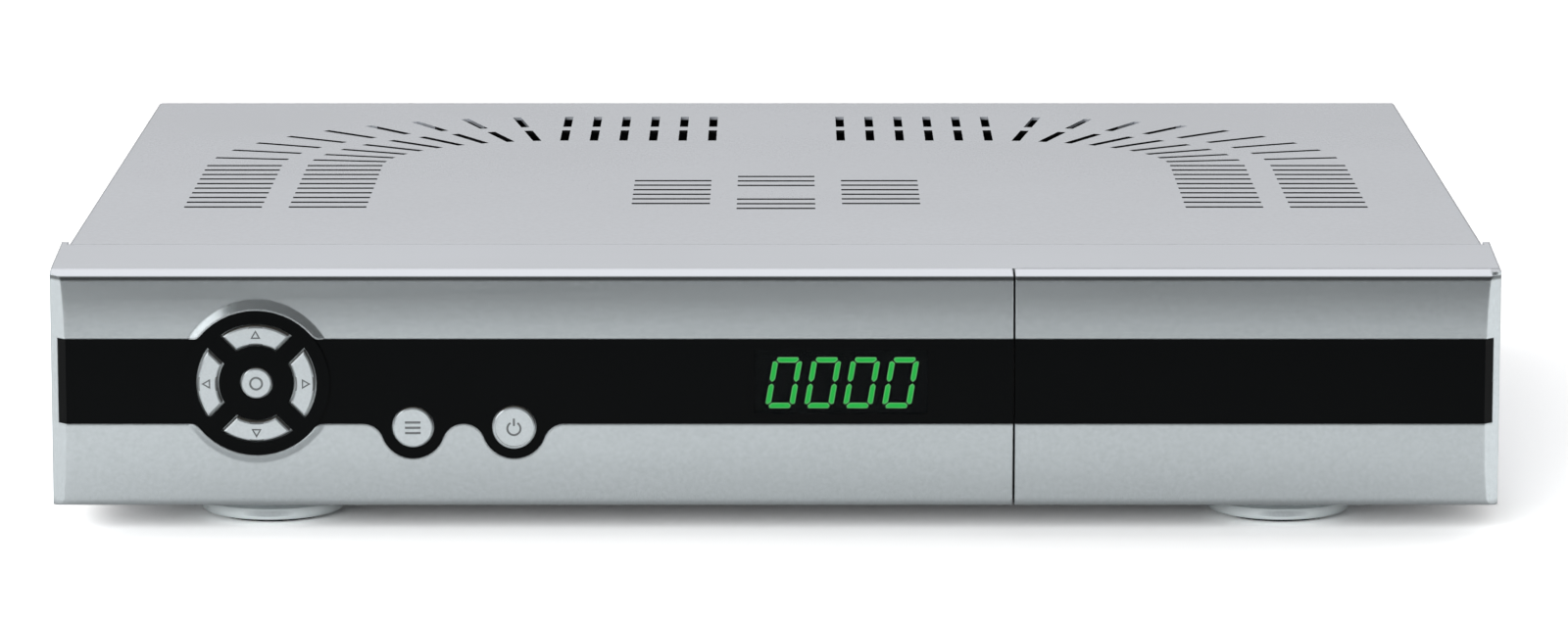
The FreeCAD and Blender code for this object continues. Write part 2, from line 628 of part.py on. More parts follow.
def pierce_bezel(bezel):
    """Openings for keys, display, slots and catch, and the screw bosses behind."""
    wall = ("0", "face_inner + 1")
    rod(bezel, "keypad_hole", "y", wall, ("keypad_x", "keypad_z"), "disc_radius - 1.5", cut=True,
        sides=16)
    for name, across, radius in (("menu", "menu_x", "menu_radius"), ("power", "power_x", "power_radius")):
        rod(bezel, name + "_hole", "y", wall, (across, "round_key_z"),
            radius + " + flange_grow + key_gap", cut=True, sides=12)
    block(bezel, "display_hole", around("display_x", "display_wide + 1"), wall,
          around("keypad_z", "display_tall + 1"), cut=True)
    through = ("bay_wall - 1", "bay_back + 1")
    mouth = ("bay_wall - 1", "bay_wall + 0.7")
    for number in (0, 1):
        low = "module_low + %d * module_pitch" % number
        block(bezel, "module_slot_%d" % number, around("slot_x", "slot_wide"), through,
              (low, low + " + module_slot_tall"), cut=True)
        low = "card_low + %d * card_pitch" % number
        block(bezel, "card_slot_%d" % number, around("slot_x", "slot_wide"), through,
              (low, low + " + card_slot_tall"), cut=True)
        block(bezel, "card_mouth_%d" % number, around("slot_x", "slot_wide + 2"), mouth,
              (low + " - 1", low + " + card_slot_tall + 1"), cut=True)
    block(bezel, "usb_slot", around("front_usb_x", USB_WIDE + " + 0.6"),
          through, ("%s + 0.2" % BOARD_TOP, "%s + 6.6" % BOARD_TOP), cut=True)
    block(bezel, "catch_slot", around("tongue_x", "tongue_wide + 2 * catch_gap"), through,
          ("tongue_low - catch_gap", "tongue_low + tongue_thick + catch_gap"), cut=True)
    for number, (across, up) in enumerate(FRONT_BOARD_SCREWS):
        rod(bezel, "boss_%d" % number, "y", ("recess_deep + 1", "board_front"), (across, up),
            "head_radius + 0.3", sides=8)
        rod(bezel, "boss_hole_%d" % number, "y", ("face_inner", "board_front + 1"), (across, up),
            "pilot", cut=True, sides=6)
    for number, (across, start) in enumerate(BEZEL_SCREWS):
        column = around(across, "2 * head_radius")
        rod(bezel, "chin_boss_%d" % number, "y", (start, "tray_front - seam"), (across, CHIN_SCREW_Z),
            "head_radius", sides=8)
        block(bezel, "chin_web_%d" % number, column, (start, "tray_front - seam"),
              ("bezel_floor - 0.5", CHIN_SCREW_Z))
        rod(bezel, "chin_hole_%d" % number, "y", (start + " - 1.4", "tray_front"),
            (across, CHIN_SCREW_Z), "pilot", cut=True, sides=6)


USB_WIDE = "13.1"
FRONT_BOARD_SCREWS = [("-147", "12"), ("-147", "46"), ("47", "12"), ("47", "46")]
CHIN_SCREW_Z = "4.6"
BEZEL_SCREWS = [("-140", "11"), ("145", "bay_back")]


def make_display_window():
    """Dark strip with the keypad disc, cut out for its keys."""
    window = sub_part("display_window")
    extrude(window, "strip", "XZ", ("0", "window_thick"), [
        window_outline("-" + FACET_IN, "bezel_edge", "seam")])
    extrude(window, "wrap", "XY", ("band_low + seam", "band_high - seam"), [
        strip_plan(-1, "-%s + 1" % FACET_IN, "window_thick", "0")])
    rod(window, "disc", "y", ("-disc_proud", "window_thick"), ("keypad_x", "keypad_z"),
        "disc_radius - seam")
    middle = ("keypad_x", "keypad_z")
    through = ("-2 * disc_proud", "2 * window_thick")
    pocket = arrow_outline("arrow_inner - key_gap", "arrow_outer + key_gap", "arrow_edge - key_gap")
    for number in range(4):
        extrude(window, "arrow_pocket_%d" % number, "XZ", through, [pocket], cut=True,
                origin=middle, turn=90 * number)
    rod(window, "ok_hole", "y", through, middle, "ok_radius + round_gap", cut=True)
    for name, across, radius in ROUND_KEYS:
        rod(window, name + "_hole", "y", through, (across, "round_key_z"),
            radius + " + round_gap", cut=True)
    return window


ROUND_KEYS = [("menu", "menu_x", "menu_radius"), ("power", "power_x", "power_radius")]


def make_flap_door():
    """Full-height drop-down flap with lip, end return, barrel, pins and catch tongue."""
    flap = sub_part("flap_door")
    right = "front_half + 3"
    profile = face_profile()
    profile[4:4] = [("recess_deep", "band_low"), ("recess_deep", "band_high")]
    profile += [
        ("flap_lip", "panel_high"), ("flap_lip", "panel_high - flap_wall"),
        ("flap_inner", "panel_high - flap_wall"), ("flap_inner", "hinge_round"),
        ("hinge_back", "hinge_round")]
    extrude(flap, "wall", "YZ", ("flap_edge", right), [profile])
    block(flap, "return", ("front_half - flap_wall", right), ("flap_inner - 1", "flap_lip"),
          ("hinge_round", "panel_high"))
    rod(flap, "barrel", "x", ("flap_edge", "bay_right - 0.1"), ("hinge_back", "hinge_round"), "hinge_round")
    slope = "(panel_half - front_half) / (bezel_deep - facet_deep)"
    extrude(flap, "facet", "XY", ("-1", "panel_high + 1"), [[
        (FACET_IN, "-facet_deep"), ("front_half + facet_deep", "-facet_deep"),
        ("front_half + facet_deep", "flap_lip + 1"),
        ("front_half + (flap_lip + 1 - facet_deep) * " + slope, "flap_lip + 1"),
        ("front_half", "facet_deep"), (FACET_IN, "0")]], cut=True)
    extrude(flap, "strip_wrap", "XY", ("band_low", "band_high"), [
        strip_plan(1, FACET_IN + " - 5", "recess_deep", "seam")], cut=True)
    for name, left in (("left", "ear_left"), ("right", "ear_right")):
        limits = (left + " - ear_gap", left + " + ear_wide + ear_gap")
        rod(flap, "ear_relief_" + name, "x", limits, ("hinge_back", "hinge_round"),
            "ear_radius + ear_gap", cut=True, sides=12)
        block(flap, "ear_back_" + name, limits, ("hinge_back", "bay_wall"),
              ("-1", "ear_top + ear_gap"), cut=True)
        block(flap, "ear_front_" + name, limits,
              ("hinge_back - ear_radius - ear_gap", "bay_wall"),
              ("hinge_round", "ear_top + ear_gap"), cut=True)
        rod(flap, "pin_" + name, "x", limits, ("hinge_back", "hinge_round"), "pin_radius", sides=12)
    block(flap, "tongue", around("tongue_x", "tongue_wide"), ("flap_inner - 1", "tongue_end"),
          ("tongue_low", "tongue_low + tongue_thick"))
    return flap


def make_flap_window():
    """The dark strip carried across the flap and round its end."""
    window = sub_part("flap_window")
    extrude(window, "strip", "XY", ("band_low + seam", "band_high - seam"), [
        strip_plan(1, "flap_edge", "window_thick", "0")])
    return window


# ---------------------------------------------------------------- keys


def finish_key(key, cap, centre, switch_at, proud):
    """Break the cap's front edge, then add the stem that works the switch."""
    front = -size(proud)
    broken = break_edges(key, "edge", cap, "key_chamfer",
                         lambda face: abs(face.BoundBox.YMax - front) < 1e-4)
    block(key, "stem", around(switch_at[0], "stem_wide"), ("flange_back - 0.5", "stem_end"),
          around(switch_at[1], "stem_wide"))
    return broken


def make_arrow_key(label, turn):
    """One ring-segment key: cap, retaining flange and stem."""
    key = sub_part(label)
    middle = ("keypad_x", "keypad_z")
    cap = extrude(key, "cap", "XZ", ("-key_proud", "flange_front"), [
        arrow_outline("arrow_inner", "arrow_outer", "arrow_edge")], origin=middle, turn=turn)
    quarter = math.radians(turn)
    across = round(-math.sin(quarter))
    up = round(math.cos(quarter))
    switch_at = ("keypad_x + %d * key_seat" % across, "keypad_z + %d * key_seat" % up)
    finish_key(key, cap, middle, switch_at, "key_proud")
    extrude(key, "flange", "XZ", ("flange_front", "flange_back"), [
        arrow_outline("arrow_inner - flange_grow", "arrow_outer + flange_grow",
                      "arrow_edge - flange_grow")], origin=middle, turn=turn)
    return key


def make_round_key(label, across, up, radius, proud):
    """A round key with flange and stem."""
    key = sub_part(label)
    cap = rod(key, "cap", "y", ("-" + proud, "flange_front"), (across, up), radius)
    finish_key(key, cap, (across, up), (across, up), proud)
    rod(key, "flange", "y", ("flange_front", "flange_back"), (across, up),
        radius + " + flange_grow", sides=8)
    return key


ARROWS = [("up_key", 0), ("left_key", 90), ("down_key", 180), ("right_key", 270)]


def switch_places():
    """Centres of the seven key switches on the front board."""
    places = [("keypad_x", "keypad_z")]
    for label, turn in ARROWS:
        across = round(-math.sin(math.radians(turn)))
        up = round(math.cos(math.radians(turn)))
        places.append(("keypad_x + %d * key_seat" % across, "keypad_z + %d * key_seat" % up))
    places.append(("menu_x", "round_key_z"))
    places.append(("power_x", "round_key_z"))
    return places


def make_key_switches():
    """Seven square key switches with a bore for each stem."""
    switches = sub_part("key_switches")
    for number, (across, up) in enumerate(switch_places()):
        block(switches, "case_%d" % number, around(across, "switch_size"),
              ("switch_front", "board_front"), around(up, "switch_size"))
        block(switches, "bore_%d" % number, around(across, "stem_wide + 2 * bore_gap"),
              ("switch_front - 1", "switch_floor"), around(up, "stem_wide + 2 * bore_gap"), cut=True)
    return switches


# ---------------------------------------------------------------- display and front board


def make_display_module():
    """Four-digit light-emitting display block."""
    module = sub_part("display_module")
    block(module, "case", around("display_x", "display_wide"), ("display_front", "board_front"),
          around("keypad_z", "display_tall"))
    return module


def segment_outlines():
    """The seven leaning segments of one digit, about the digit's middle."""
    half_w = "(digit_wide - segment_wide) / 2"
    half_t = "(digit_tall - segment_wide) / 2"
    half = "segment_wide / 2"

    def lean(across, up):
        return "(%s) + (%s) * tan(digit_slant)" % (across, up), up

    def level_segment(up):
        inner = "(%s - segment_gap - %s)" % (half_w, half)
        tip = "(%s - segment_gap)" % half_w
        return [lean("-" + tip, up), lean("-" + inner, "%s - %s" % (up, half)),
                lean(inner, "%s - %s" % (up, half)), lean(tip, up),
                lean(inner, "%s + %s" % (up, half)), lean("-" + inner, "%s + %s" % (up, half))]

    def upright_segment(across, low, high):
        bottom = "(%s + segment_gap)" % low
        top = "(%s - segment_gap)" % high
        return [lean(across, bottom), lean("%s + %s" % (across, half), "%s + %s" % (bottom, half)),
                lean("%s + %s" % (across, half), "%s - %s" % (top, half)), lean(across, top),
                lean("%s - %s" % (across, half), "%s - %s" % (top, half)),
                lean("%s - %s" % (across, half), "%s + %s" % (bottom, half))]

    outlines = [level_segment(up) for up in ("-" + half_t, half_t)]
    for across in ("-" + half_w, half_w):
        outlines.append(upright_segment(across, "-" + half_t, "0"))
        outlines.append(upright_segment(across, "0", half_t))
    return outlines


def make_display_segments():
    """The lit segments: four noughts, the middle bar of each staying dark."""
    segments = sub_part("display_segments")
    first = "display_x - digit_pitch * (digits - 1) / 2"
    digit = extrude(segments, "digit", "XZ", ("display_front - segment_deep", "display_front"),
                    segment_outlines(), origin=(first, "keypad_z"))
    pattern(segments, "row", "LinearPattern", digit, (digit.Profile[0], ["H_Axis"]),
            "digits", "digit_pitch")
    return segments


def make_front_board():
    """Circuit board behind the face."""
    board = sub_part("front_board")
    block(board, "board", ("-152", "51"), ("board_front", "board_front + board_thick"), ("8", "50"))
    for number, (across, up) in enumerate(FRONT_BOARD_SCREWS):
        rod(board, "hole_%d" % number, "y", ("board_front - 1", "board_front + board_thick + 1"),
            (across, up), "screw_hole", cut=True, sides=6)
    return board


def flat_lead(label, plane, limits, points, radius, thick):
    """A flat cable: runs joined by tangent quarter turns, then given a width.
    Points lie on its middle line and each run is parallel to an axis."""
    lead = sub_part(label)
    values = [FreeCAD.Vector(size(u), size(v), 0) for u, v in points]
    sides = []
    for sign in (1, -1):
        corners = []
        for index, (across, up) in enumerate(points):
            here = values[index]
            into = here - values[index - 1] if index else values[1] - here
            away = values[index + 1] - here if index + 1 < len(points) else into
            into.normalize()
            away.normalize()
            shift = (thick + " / 2")
            left_in = FreeCAD.Vector(-into.y, into.x, 0) * sign
            left_out = FreeCAD.Vector(-away.y, away.x, 0) * sign
            turning = into.cross(away).z * sign
            if abs(turning) < 1e-6:
                corners.append((step(across, left_in.x, shift), step(up, left_in.y, shift)))
                continue
            own = "(%s - %s)" % (radius, shift) if turning > 0 else "(%s + %s)" % (radius, shift)
            enter = (step(step(across, -into.x, radius), left_in.x, shift),
                     step(step(up, -into.y, radius), left_in.y, shift))
            leave = (step(step(across, away.x, radius), left_out.x, shift),
                     step(step(up, away.y, radius), left_out.y, shift))
            corners.append(enter + (own, -1 if into.cross(away).z > 0 else 1))
            corners.append(leave)
        sides.append(corners)
    back = list(reversed(sides[1]))
    returned = []
    for index, corner in enumerate(back):
        following = back[index + 1] if index + 1 < len(back) else None
        if following is not None and len(following) > 2:
            returned.append(corner[:2] + (following[2], -following[3]))
        else:
            returned.append(corner[:2])
    extrude(lead, "band", plane, limits, [sides[0] + returned])
    return lead


def step(place_formula, direction, distance):
    """A formula moved by a distance along a unit direction of -1, 0 or 1."""
    direction = round(direction)
    if direction == 0:
        return place_formula
    return "%s %s %s" % (place_formula, "+" if direction > 0 else "-", "(%s)" % distance)


def make_front_cable():
    """Flat cable from the front board back to the main board."""
    return flat_lead("front_cable", "YZ", ("-12", "12"), [
        ("board_front + board_thick", "26"), ("72", "26"), ("72", BOARD_TOP)], "8", "1.2")


# ---------------------------------------------------------------- sheet metal


def make_top_cover():
    """Folded cover with its fans of vents, open below."""
    cover = sub_part("top_cover")
    inner = "(cover_half - cover_sheet)"
    flat = "(cover_half - cover_bend)"
    shoulder = "(panel_high - cover_bend)"
    under = "(panel_high - cover_sheet)"
    tight = "(cover_bend - cover_sheet)"
    extrude(cover, "fold", "XZ", ("lid_front + seam", "cover_back"), [[
        ("-cover_half", "cover_low"), ("-" + inner, "cover_low"),
        ("-" + inner, shoulder, tight, 1), ("-" + flat, under),
        (flat, under, tight, 1), (inner, shoulder), (inner, "cover_low"),
        ("cover_half", "cover_low"), ("cover_half", shoulder, "cover_bend", -1),
        (flat, "panel_high"), ("-" + flat, "panel_high", "cover_bend", -1),
        ("-cover_half", shoulder)]])
    block(cover, "rear_flange", ("-cover_flange_half", "cover_flange_half"),
          ("cover_back - cover_sheet", "cover_back"),
          ("panel_high - cover_sheet - cover_flange", "panel_high - cover_sheet / 2"))
    cut_fans(cover)
    cut_middle_vents(cover)
    for number, depth in enumerate(COVER_SCREW_Y):
        rod(cover, "side_hole_%d" % number, "x", ("-panel_half", "panel_half"),
            (depth, COVER_SCREW_Z), "screw_hole", cut=True, sides=6)
    for number, across in enumerate(COVER_REAR_X):
        rod(cover, "rear_hole_%d" % number, "y", ("rear_face", "cover_back + 1"),
            (across, COVER_REAR_Z), "screw_hole", cut=True, sides=6)
    return cover


COVER_SCREW_Y = ["105", "235"]
COVER_SCREW_Z = "6"
COVER_REAR_X = ["-120", "0", "120"]
COVER_REAR_Z = "panel_high - cover_sheet - 3.8"


def vent_pair(sign, offset):
    """Two vents in line, one in each row, along the sketch's first axis."""
    first = "(fan_inner)"
    second = "(fan_inner + vent_long + vent_between)"
    half = "vent_wide / 2"
    pair = []
    for start in (first, second):
        limits = sorted(("%d * %s" % (sign, start), "%d * (%s + vent_long)" % (sign, start)), key=size)
        pair.append(rectangle(limits, ("%s - %s" % (offset, half), "%s + %s" % (offset, half))))
    return pair


def cut_fans(cover):
    """Mirrored double rows: straight down each side, fanned round the corner, then
    straight across the rear."""
    through = ("panel_high - 2 * cover_sheet", "panel_high + 1")
    for name, sign in (("left", -1), ("right", 1)):
        centre = ("%d * fan_x" % sign, "fan_y")
        side = extrude(cover, "side_vents_" + name, "XY", through, vent_pair(sign, "0"), cut=True,
                       origin=centre)
        axes = side.Profile[0]
        pattern(cover, "side_row_" + name, "LinearPattern", side, (axes, ["V_Axis"]), "10",
                "vent_pitch", backwards=True)
        pattern(cover, "fan_" + name, "PolarPattern", side, (axes, ["N_Axis"]), "11",
                "vent_turn", backwards=sign < 0)
        rear = extrude(cover, "rear_vents_" + name, "XY", through, vent_pair(1, "0"), cut=True,
                       origin=("%d * (fan_x - vent_pitch)" % sign, "fan_y"), turn=90)
        pattern(cover, "rear_row_" + name, "LinearPattern", rear, (rear.Profile[0], ["V_Axis"]),
                "5", "vent_pitch", backwards=sign < 0)


def cut_middle_vents(cover):
    """Three blocks of short vents over the middle of the cover."""
    through = ("panel_high - 2 * cover_sheet", "panel_high + 1")
    half = "vent_wide / 2"
    across = ("-" + half, half)
    outer = [rectangle(("mid_vent_inner", "mid_vent_outer"), across),
             rectangle(("-mid_vent_outer", "-mid_vent_inner"), across)]
    first = extrude(cover, "outer_vents", "XY", through, outer, cut=True, origin=("0", "mid_vent_y"))
    pattern(cover, "outer_rows", "LinearPattern", first, (first.Profile[0], ["V_Axis"]), "6",
            "mid_vent_pitch", backwards=True)
    for name, skipped in (("rear", "0"), ("front", "5")):
        start = "core_vent_y - %s * mid_vent_pitch" % skipped
        core = extrude(cover, "core_vents_" + name, "XY", through,
                       [rectangle(("-core_vent_half", "core_vent_half"), across)], cut=True,
                       origin=("0", start))
        pattern(cover, "core_rows_" + name, "LinearPattern", core, (core.Profile[0], ["V_Axis"]),
                "3", "mid_vent_pitch", backwards=True)


def make_base_tray():
    """Folded tray with side and front flanges and a field of bottom vents."""
    tray = sub_part("base_tray")
    inner = "(tray_half - tray_sheet)"
    back = "rear_face - rear_sheet"
    extrude(tray, "fold", "XZ", ("tray_front", back), [[
        ("-tray_half", "0"), ("tray_half", "0"), ("tray_half", "tray_flange"),
        (inner, "tray_flange"), (inner, "tray_sheet"), ("-" + inner, "tray_sheet"),
        ("-" + inner, "tray_flange"), ("-tray_half", "tray_flange")]])
    block(tray, "front_flange", ("-" + inner, inner), ("tray_front", "tray_front + tray_sheet"),
          ("tray_sheet / 2", "%s - 0.4" % BOARD_LOW))
    for name, across in (("supply", "-128"), ("board", "40")):
        slot = extrude(tray, name + "_vent", "XY", ("-1", "tray_sheet + 1"),
                       [rectangle(("-16", "16"), ("-1.5", "1.5"))], cut=True,
                       origin=(across, "150"))
        pattern(tray, name + "_vents", "LinearPattern", slot, (slot.Profile[0], ["V_Axis"]),
                "6", "12")
    for number, depth in enumerate(COVER_SCREW_Y):
        rod(tray, "side_hole_%d" % number, "x", ("-panel_half", "panel_half"),
            (depth, COVER_SCREW_Z), "pilot", cut=True, sides=6)
    for number, (across, start) in enumerate(BEZEL_SCREWS):
        rod(tray, "front_hole_%d" % number, "y", ("tray_front - 1", "tray_front + tray_sheet + 1"),
            (across, CHIN_SCREW_Z), "screw_hole", cut=True, sides=6)
    for number, across in enumerate(PANEL_SCREW_X):
        rod(tray, "panel_hole_%d" % number, "z", ("-1", "tray_sheet + 1"),
            (across, PANEL_SCREW_Y), "screw_hole", cut=True, sides=6)
    return tray


PANEL_SCREW_X = ["-125", "10", "112"]
PANEL_SCREW_Y = "rear_face - rear_sheet - 5"
PANEL_FOLD = "10"


def foot_places():
    places = []
    for across in ("-foot_x", "foot_x"):
        for depth in ("foot_front", "foot_rear"):
            places.append((across, depth))
    return places


def make_rear_panel():
    """Socket panel with a foot fold, an opening for each socket and a row of vents."""
    panel = sub_part("rear_panel")
    inner = "rear_face - rear_sheet"
    block(panel, "plate", ("-rear_half", "rear_half"), (inner, "rear_face"),
          ("tray_sheet", "panel_high - cover_sheet - seam"))
    block(panel, "fold", ("-rear_half", "rear_half"), ("%s - %s" % (inner, PANEL_FOLD), "rear_face"),
          ("tray_sheet", "tray_sheet + rear_sheet"))
    through = (inner + " - 1", "rear_face + 1")
    for number, across in enumerate(aerial_places()):
        rod(panel, "aerial_%d" % number, "y", through, (across, "aerial_z"),
            "aerial_radius + 0.2", cut=True, sides=12)
    for number, (across, up) in enumerate(rca_places()):
        rod(panel, "rca_%d" % number, "y", through, (across, up), "rca_radius + 0.25", cut=True,
            sides=10)
    openings = [
        ("scart_low", "scart_x", "scart_wide + 0.4", "scart_z", "scart_tall + 0.4"),
        ("scart_high", "scart_x", "scart_wide + 0.4", "scart_z + scart_pitch", "scart_tall + 0.4"),
        ("inlet", "inlet_x", INLET_BODY_WIDE + " + 0.4", "mains_z", INLET_BODY_TALL + " + 0.4"),
        ("rocker", "rocker_x", ROCKER_BODY_WIDE + " + 0.4", "mains_z", ROCKER_BODY_TALL + " + 0.4"),
    ]
    for name, across, wide, up, tall in openings:
        block(panel, name, around(across, wide), through, around(up, tall), cut=True)
    for name, across, wide, low, tall in BOARD_SOCKETS:
        block(panel, name, around(across, wide + " + 0.5"), through,
              ("%s - 0.25" % low, "%s + %s + 0.25" % (low, tall)), cut=True)
    vent = extrude(panel, "vent", "XZ", through, [rectangle(("-1.2", "1.2"), ("0", "14"))],
                   cut=True, origin=("-80", "29"))
    pattern(panel, "vents", "LinearPattern", vent, (vent.Profile[0], ["H_Axis"]), "10", "8.4")
    for number, across in enumerate(COVER_REAR_X):
        rod(panel, "cover_hole_%d" % number, "y", through, (across, COVER_REAR_Z), "pilot", cut=True, sides=6)
    for number, across in enumerate(PANEL_SCREW_X):
        rod(panel, "tray_hole_%d" % number, "z", ("0", "2 * rear_sheet + tray_sheet"),
            (across, PANEL_SCREW_Y), "pilot", cut=True, sides=6)
    return panel


# ---------------------------------------------------------------- feet and screws


def make_feet():
    """Round feet: a narrow neck above a wide disc with a broken lower edge."""
    feet = sub_part("feet")
    bottom = "pad_thick - foot_high"
    for number, centre in enumerate(foot_places()):
        rod(feet, "neck_%d" % number, "z", ("-foot_rim - 0.5", "0"), centre, "foot_neck", sides=16)
        disc = rod(feet, "disc_%d" % number, "z", (bottom, "-foot_rim"), centre, "foot_radius", sides=24)
    low = size(bottom)
    break_edges(feet, "edge", disc, "foot_edge", lambda face: abs(face.BoundBox.ZMax - low) < 1e-4)
    return feet


def make_foot_pads():
    """Rubber pads that carry the receiver."""
    pads = sub_part("foot_pads")
    for number, centre in enumerate(foot_places()):
        rod(pads, "pad_%d" % number, "z", ("-foot_high", "pad_thick - foot_high"), centre,
            "pad_radius", sides=16)
    return pads


def screw(body, name, along, seat, outward, reach, centre):
    """A screw: its head on the outward side of a seat, its shank inward."""
    if outward > 0:
        head = (seat, "%s + head_thick" % seat)
        shank = ("%s - (%s)" % (seat, reach), "%s + head_thick / 2" % seat)
    else:
        head = ("%s - head_thick" % seat, seat)
        shank = ("%s - head_thick / 2" % seat, "%s + (%s)" % (seat, reach))
    rod(body, name + "_head", along, head, centre, "head_radius", sides=6)
    rod(body, name + "_shank", along, shank, centre, "screw_radius", sides=6)


def make_cover_screws():
    """Two screws in each side of the cover and three in its rear flange."""
    screws = sub_part("cover_screws")
    for number, depth in enumerate(COVER_SCREW_Y):
        screw(screws, "right_%d" % number, "x", "cover_half", 1, "5",
              (depth, COVER_SCREW_Z))
        screw(screws, "left_%d" % number, "x", "-cover_half", -1, "5",
              (depth, COVER_SCREW_Z))
    for number, across in enumerate(COVER_REAR_X):
        screw(screws, "rear_%d" % number, "y", "cover_back", 1, "5", (across, COVER_REAR_Z))
    return screws


def make_front_screws():
    """Screws that hold the front board in the bezel and the bezel on the tray."""
    screws = sub_part("front_screws")
    for number, centre in enumerate(FRONT_BOARD_SCREWS):
        screw(screws, "board_%d" % number, "y", "board_front + board_thick", 1, "5.5", centre)
    for number, (across, start) in enumerate(BEZEL_SCREWS):
        screw(screws, "bezel_%d" % number, "y", "tray_front + tray_sheet", 1, "4.5",
              (across, CHIN_SCREW_Z))
    return screws


def make_panel_screws():
    """Screws under the tray that hold the rear panel."""
    screws = sub_part("panel_screws")
    for number, across in enumerate(PANEL_SCREW_X):
        screw(screws, "tray_%d" % number, "z", "0", -1, "5", (across, PANEL_SCREW_Y))
    return screws


MAIN_SCREWS = [("-80", "66"), ("-80", "222"), ("48", "250"), ("156", "30"), ("156", "240")]
SUPPLY_SCREWS = [("-157", "136"), ("-98", "136"), ("-157", "270"), ("-98", "270")]


def make_board_standoffs():
    """Hexagonal standoffs on the tray, bored for the board screws."""
    posts = sub_part("board_standoffs")
    for number, centre in enumerate(MAIN_SCREWS + SUPPLY_SCREWS):
        rod(posts, "post_%d" % number, "z", ("tray_sheet", BOARD_LOW), centre, "standoff_radius",
            sides=6)
        rod(posts, "bore_%d" % number, "z", ("tray_sheet", BOARD_LOW + " + 1"), centre, "pilot",
            cut=True, sides=6)
    return posts


def make_board_screws():
    screws = sub_part("board_screws")
    for number, centre in enumerate(MAIN_SCREWS + SUPPLY_SCREWS):
        screw(screws, "screw_%d" % number, "z", "(%s)" % BOARD_TOP, 1, "6", centre)
    return screws


# ---------------------------------------------------------------- main board


def make_main_board():
    """Board that carries tuners and sockets, with a nose under the card bay."""
    board = sub_part("main_board")
    extrude(board, "board", "XY", (BOARD_LOW, BOARD_TOP), [[
        ("main_left", "main_front"), ("main_nose_left", "main_front"),
        ("main_nose_left", "main_nose"), ("main_right", "main_nose"),
        ("main_right", "main_back"), ("main_left", "main_back")]])
    for number, centre in enumerate(MAIN_SCREWS):
        rod(board, "hole_%d" % number, "z", (BOARD_LOW + " - 1", BOARD_TOP + " + 1"), centre,
            "screw_hole", cut=True, sides=6)
    return board


def on_board(height):
    return (BOARD_TOP, "%s + %s" % (BOARD_TOP, height))


def make_board_chips():
    """Processor, memories and flat capacitors on the main board."""
    chips = sub_part("board_chips")
    block(chips, "processor", around("0", "31"), around("150", "31"), on_board("2.2"))
    for number, (across, depth) in enumerate([("36", "140"), ("36", "162"), ("-36", "140"), ("-36", "162")]):
        block(chips, "memory_%d" % number, around(across, "11"), around(depth, "14"), on_board("1.2"))
    for number, (across, depth) in enumerate([("-60", "100"), ("-46", "100"), ("88", "130"), ("104", "130")]):
        rod(chips, "capacitor_%d" % number, "z", on_board("11"), (across, depth), "4", sides=10)
    return chips


def make_processor_heatsink():
    """Finned heat sink: one base, one fin and a row of fins."""
    sink = sub_part("processor_heatsink")
    low = BOARD_TOP + " + 2.2"
    block(sink, "base", around("0", "38"), around("150", "38"), (low, low + " + 2.5"))
    fin = extrude(sink, "fin", "XY", (low + " + 2", low + " + 12"),
                  [rectangle(("-19", "-17.8"), ("-19", "19"))], origin=("0", "150"))
    pattern(sink, "fins", "LinearPattern", fin, (fin.Profile[0], ["H_Axis"]), "9", "4.6")
    return sink


TUNERS = ["tuner_one", "tuner_two"]


def aerial_places():
    places = []
    for left in TUNERS:
        for sign in ("-", "+"):
            places.append("%s + tuner_wide / 2 %s aerial_half" % (left, sign))
    return places


def make_tuner_modules():
    """Two screened tuner cans with pressed lids."""
    cans = sub_part("tuner_modules")
    for number, left in enumerate(TUNERS):
        limits = (left, left + " + tuner_wide")
        block(cans, "can_%d" % number, limits, ("tuner_front", "tuner_back"), on_board("tuner_tall"))
        block(cans, "lid_%d" % number, (left + " - 0.4", left + " + tuner_wide + 0.4"),
              ("tuner_front - 0.4", "tuner_back"), on_board("tuner_tall - 6"))
    return cans


def hexagon(radius):
    """Corners of a hexagon about the sketch's origin."""
    corners = []
    for number in range(6):
        turn = 60 * number
        corners.append(("(%s) * cos(%d)" % (radius, turn), "(%s) * sin(%d)" % (radius, turn)))
    return corners


def make_lnb_connectors():
    """Four screw-on aerial sockets: thread, hexagon nut and open mouth."""
    sockets = sub_part("lnb_connectors")
    for number, across in enumerate(aerial_places()):
        centre = (across, "aerial_z")
        rod(sockets, "barrel_%d" % number, "y", ("tuner_back", "rear_reach"), centre, "aerial_radius",
            sides=12)
        extrude(sockets, "nut_%d" % number, "XZ", ("rear_face", "rear_face + aerial_nut_thick"),
                [hexagon("aerial_nut")], origin=centre)
        rod(sockets, "mouth_%d" % number, "y", ("rear_face + 2", "rear_reach + 1"), centre,
            "aerial_radius - 1", cut=True, sides=8)
    return sockets


def make_lnb_insulators():
    """White insulators inside the aerial sockets, each with its contact hole."""
    cores = sub_part("lnb_insulators")
    for number, across in enumerate(aerial_places()):
        centre = (across, "aerial_z")
        rod(cores, "core_%d" % number, "y", ("rear_face + 2", "rear_reach - 0.5"), centre,
            "aerial_radius - 1.1", sides=8)
        rod(cores, "contact_%d" % number, "y", ("rear_face + 4", "rear_reach"), centre, "0.8", cut=True,
            sides=6)
    return cores


# name, middle across, width, floor height, height: sockets that stand on the main board
BOARD_SOCKETS = [
    ("ethernet", "16", "16", BOARD_TOP, "13.5"),
    ("hdmi", "36", "15", BOARD_TOP + " + 0.5", "6"),
    ("usb", "53", USB_WIDE, BOARD_TOP + " + 0.5", "5.8"),
    ("optical", "66", "9.8", BOARD_TOP, "10"),
]
NOSE = "rear_face + 0.6"


